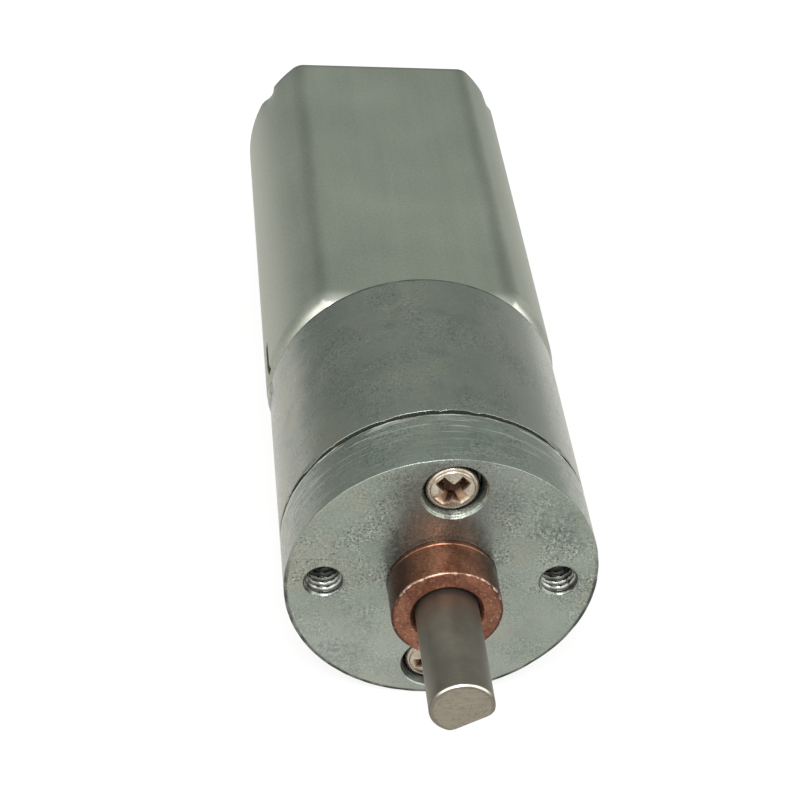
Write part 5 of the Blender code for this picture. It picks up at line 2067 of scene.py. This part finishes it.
@dataclass
class Studio:
    """The floor, the light and the photograph's camera."""

    aim: Corner = (-2.722 * MM, -15.568 * MM, 18.745 * MM)
    distance: float = 130.135 * MM
    azimuth: float = math.radians(-9.18)
    elevation: float = math.radians(37.92)
    roll: float = math.radians(6.13)
    lens: float = 92.79
    sensor: float = 36.0
    nearest: float = 5.0 * MM
    farthest: float = 10.0
    floor_size: float = 3.0
    floor_drop: float = 0.02 * MM
    glow: float = 0.82
    pool: float = -0.02
    near: float = 0.06
    far: float = 0.12
    shadow_near: float = 0.09
    shadow_far: float = 0.30
    paper: Colour = (0.86, 0.86, 0.85)
    sheen_near: Colour = (0.86, 0.84, 0.79)
    sheen_far: Colour = (0.42, 0.45, 0.42)
    sheen_right: Colour = (0.58, 0.60, 0.55)
    sky_front: Colour = (0.92, 0.905, 0.865)
    sky_low: Colour = (0.37, 0.41, 0.385)
    sky_high: Colour = (0.52, 0.57, 0.53)
    sky_top: Colour = (0.72, 0.74, 0.71)
    sky_right: Colour = (0.66, 0.675, 0.63)
    horizon: Colour = (0.45, 0.48, 0.45)
    rear_low: Point = (0.25, 0.70)
    rear_high: Point = (0.70, 1.0)
    front_to_rear: Point = (-0.40, 0.36)
    horizon_band: Point = (0.0, 0.06)
    right_across: Point = (0.36, 0.70)
    right_along: Point = (0.2, 0.6)
    right_up: Point = (0.55, 0.30)
    sheen_x: Point = (0.03, 0.12)
    sheen_y: Point = (0.0, 0.05)
    right_share: float = 0.75

    def build(self) -> None:
        """Make the stage, the lamps, the world and the camera."""
        self._camera()
        self._floor()
        self._world()
        self._lamp("key", place=(-0.40, -0.38, 0.34), size=0.90, power=3.9)
        self._lamp("fill", place=(0.50, -0.26, 0.28), size=0.70, power=2.4)
        self._lamp("top", place=(-0.06, -0.33, 0.50), size=0.24, power=2.4)
        bpy.context.scene.view_settings.view_transform = "Standard"

    def _camera(self) -> None:
        """Stand the camera where the photograph was taken."""
        data = bpy.data.cameras.new("camera")
        data.lens = self.lens
        data.sensor_width = self.sensor
        data.clip_start = self.nearest
        data.clip_end = self.farthest
        camera = bpy.data.objects.new("camera", data)
        bpy.context.scene.collection.objects.link(camera)
        level = math.cos(self.elevation)
        back = Vector((math.sin(self.azimuth) * level, -math.cos(self.azimuth) * level,
                       math.sin(self.elevation)))
        turn = back.to_track_quat("Z", "Y").to_matrix().to_4x4() @ Matrix.Rotation(self.roll, 4, "Z")
        camera.matrix_world = Matrix.Translation(Vector(self.aim) + back * self.distance) @ turn
        bpy.context.scene.camera = camera

    def _floor(self) -> None:
        """Lay the pale floor."""
        bm = bmesh.new()
        bmesh.ops.create_grid(bm, x_segments=8, y_segments=8, size=self.floor_size / 2)
        bmesh.ops.translate(bm, verts=bm.verts, vec=(0.0, 0.0, -self.floor_drop))
        mesh = bpy.data.meshes.new("floor")
        bm.to_mesh(mesh)
        bm.free()
        floor = bpy.data.objects.new("floor", mesh)
        bpy.context.scene.collection.objects.link(floor)
        floor.data.materials.append(self._floor_material())

    def _floor_material(self) -> bpy.types.Material:
        """Make the floor white to the camera and pale grey to the metals, with the object's shadow kept.

        Returns:
            The material.
        """
        material = bpy.data.materials.new("pale_floor")
        material.use_nodes = True
        material.node_tree.nodes.clear()
        tree = Tree(material.node_tree)
        rays = tree.add("ShaderNodeLightPath").outputs
        camera = Sock(tree, rays["Is Camera Ray"])
        seen = camera + Sock(tree, rays["Is Glossy Ray"])
        seen = tree.math("MINIMUM", seen + Sock(tree, rays["Is Transmission Ray"]), 1.0)
        x, y, _ = tree.split(tree.place((0.0, self.pool, 0.0)))
        distance = tree.reach(x, y)
        plain = self.glow + (1 - self.glow) * distance.step(self.shadow_near, self.shadow_far)
        right = x.step(*self.sheen_x) * y.step(*self.sheen_y)
        beyond = tree.mix(right, self.sheen_far, self.sheen_right)
        sheen = tree.mix(distance.step(self.near, self.far), self.sheen_near, beyond)
        white = tree.mix(camera, sheen, WHITE)
        paper = tree.node("ShaderNodeBsdfDiffuse", None, {"Color": (*self.paper, 1.0)})
        glow = tree.node("ShaderNodeEmission", None, {"Color": white, "Strength": 1.0})
        mixed = tree.node("ShaderNodeMixShader", None, {0: seen * plain, 1: paper, 2: glow})
        tree.add("ShaderNodeOutputMaterial", None, {"Surface": mixed})
        return material

    def _world(self) -> None:
        """Fill the sky: white to the camera, and to the metals pale in front and grey behind."""
        world = bpy.data.worlds.new("studio")
        bpy.context.scene.world = world
        world.use_nodes = True
        world.node_tree.nodes.clear()
        tree = Tree(world.node_tree)
        across, along, up = tree.split(tree.node("ShaderNodeTexCoord", None, None, "Generated"))
        rear = tree.mix(up.step(*self.rear_low), self.sky_low, self.sky_high)
        rear = tree.mix(up.step(*self.rear_high), rear, self.sky_top)
        sky = tree.mix(along.step(*self.front_to_rear), self.sky_front, rear)
        colour = tree.mix(up.step(*self.horizon_band), self.horizon, sky)
        right = across.step(*self.right_across) * along.step(*self.right_along) * up.step(*self.right_up)
        colour = tree.mix(right * self.right_share, colour, self.sky_right)
        camera = Sock(tree, tree.add("ShaderNodeLightPath").outputs["Is Camera Ray"])
        colour = tree.mix(camera, colour, WHITE)
        light = tree.node("ShaderNodeBackground", None, {"Color": colour, "Strength": 1.0})
        tree.add("ShaderNodeOutputWorld", None, {"Surface": light})

    @staticmethod
    def _lamp(name: str, place: Corner, size: float, power: float) -> None:
        """Hang a soft lamp that looks at the gearmotor.

        Args:
            name: Its name.
            place: Where it hangs.
            size: Its side.
            power: Its power in watts.
        """
        data = bpy.data.lights.new(name, "AREA")
        data.size = size
        data.energy = power
        lamp = bpy.data.objects.new(name, data)
        lamp.location = place
        lamp.rotation_euler = Vector(place).to_track_quat("Z", "Y").to_euler()
        bpy.context.scene.collection.objects.link(lamp)


def main() -> None:
    """Build the gearmotor's looks in order, and report each piece."""
    logging.basicConfig(level=logging.INFO, format="%(name)s: %(message)s")
    for obj in list(bpy.data.objects):
        bpy.data.objects.remove(obj, do_unlink=True)
    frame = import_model()
    layout = Layout.from_frame()
    Studio().build()
    MotorCan(layout, layout.can_radius, layout.half_flats).build()
    for maker in (GearHousing, FrontCover, OutputShaft, CoverScrews, EndCap):
        maker(layout).build()
    InsidePieces(frame).dress()


if __name__ == "__main__":
    main()
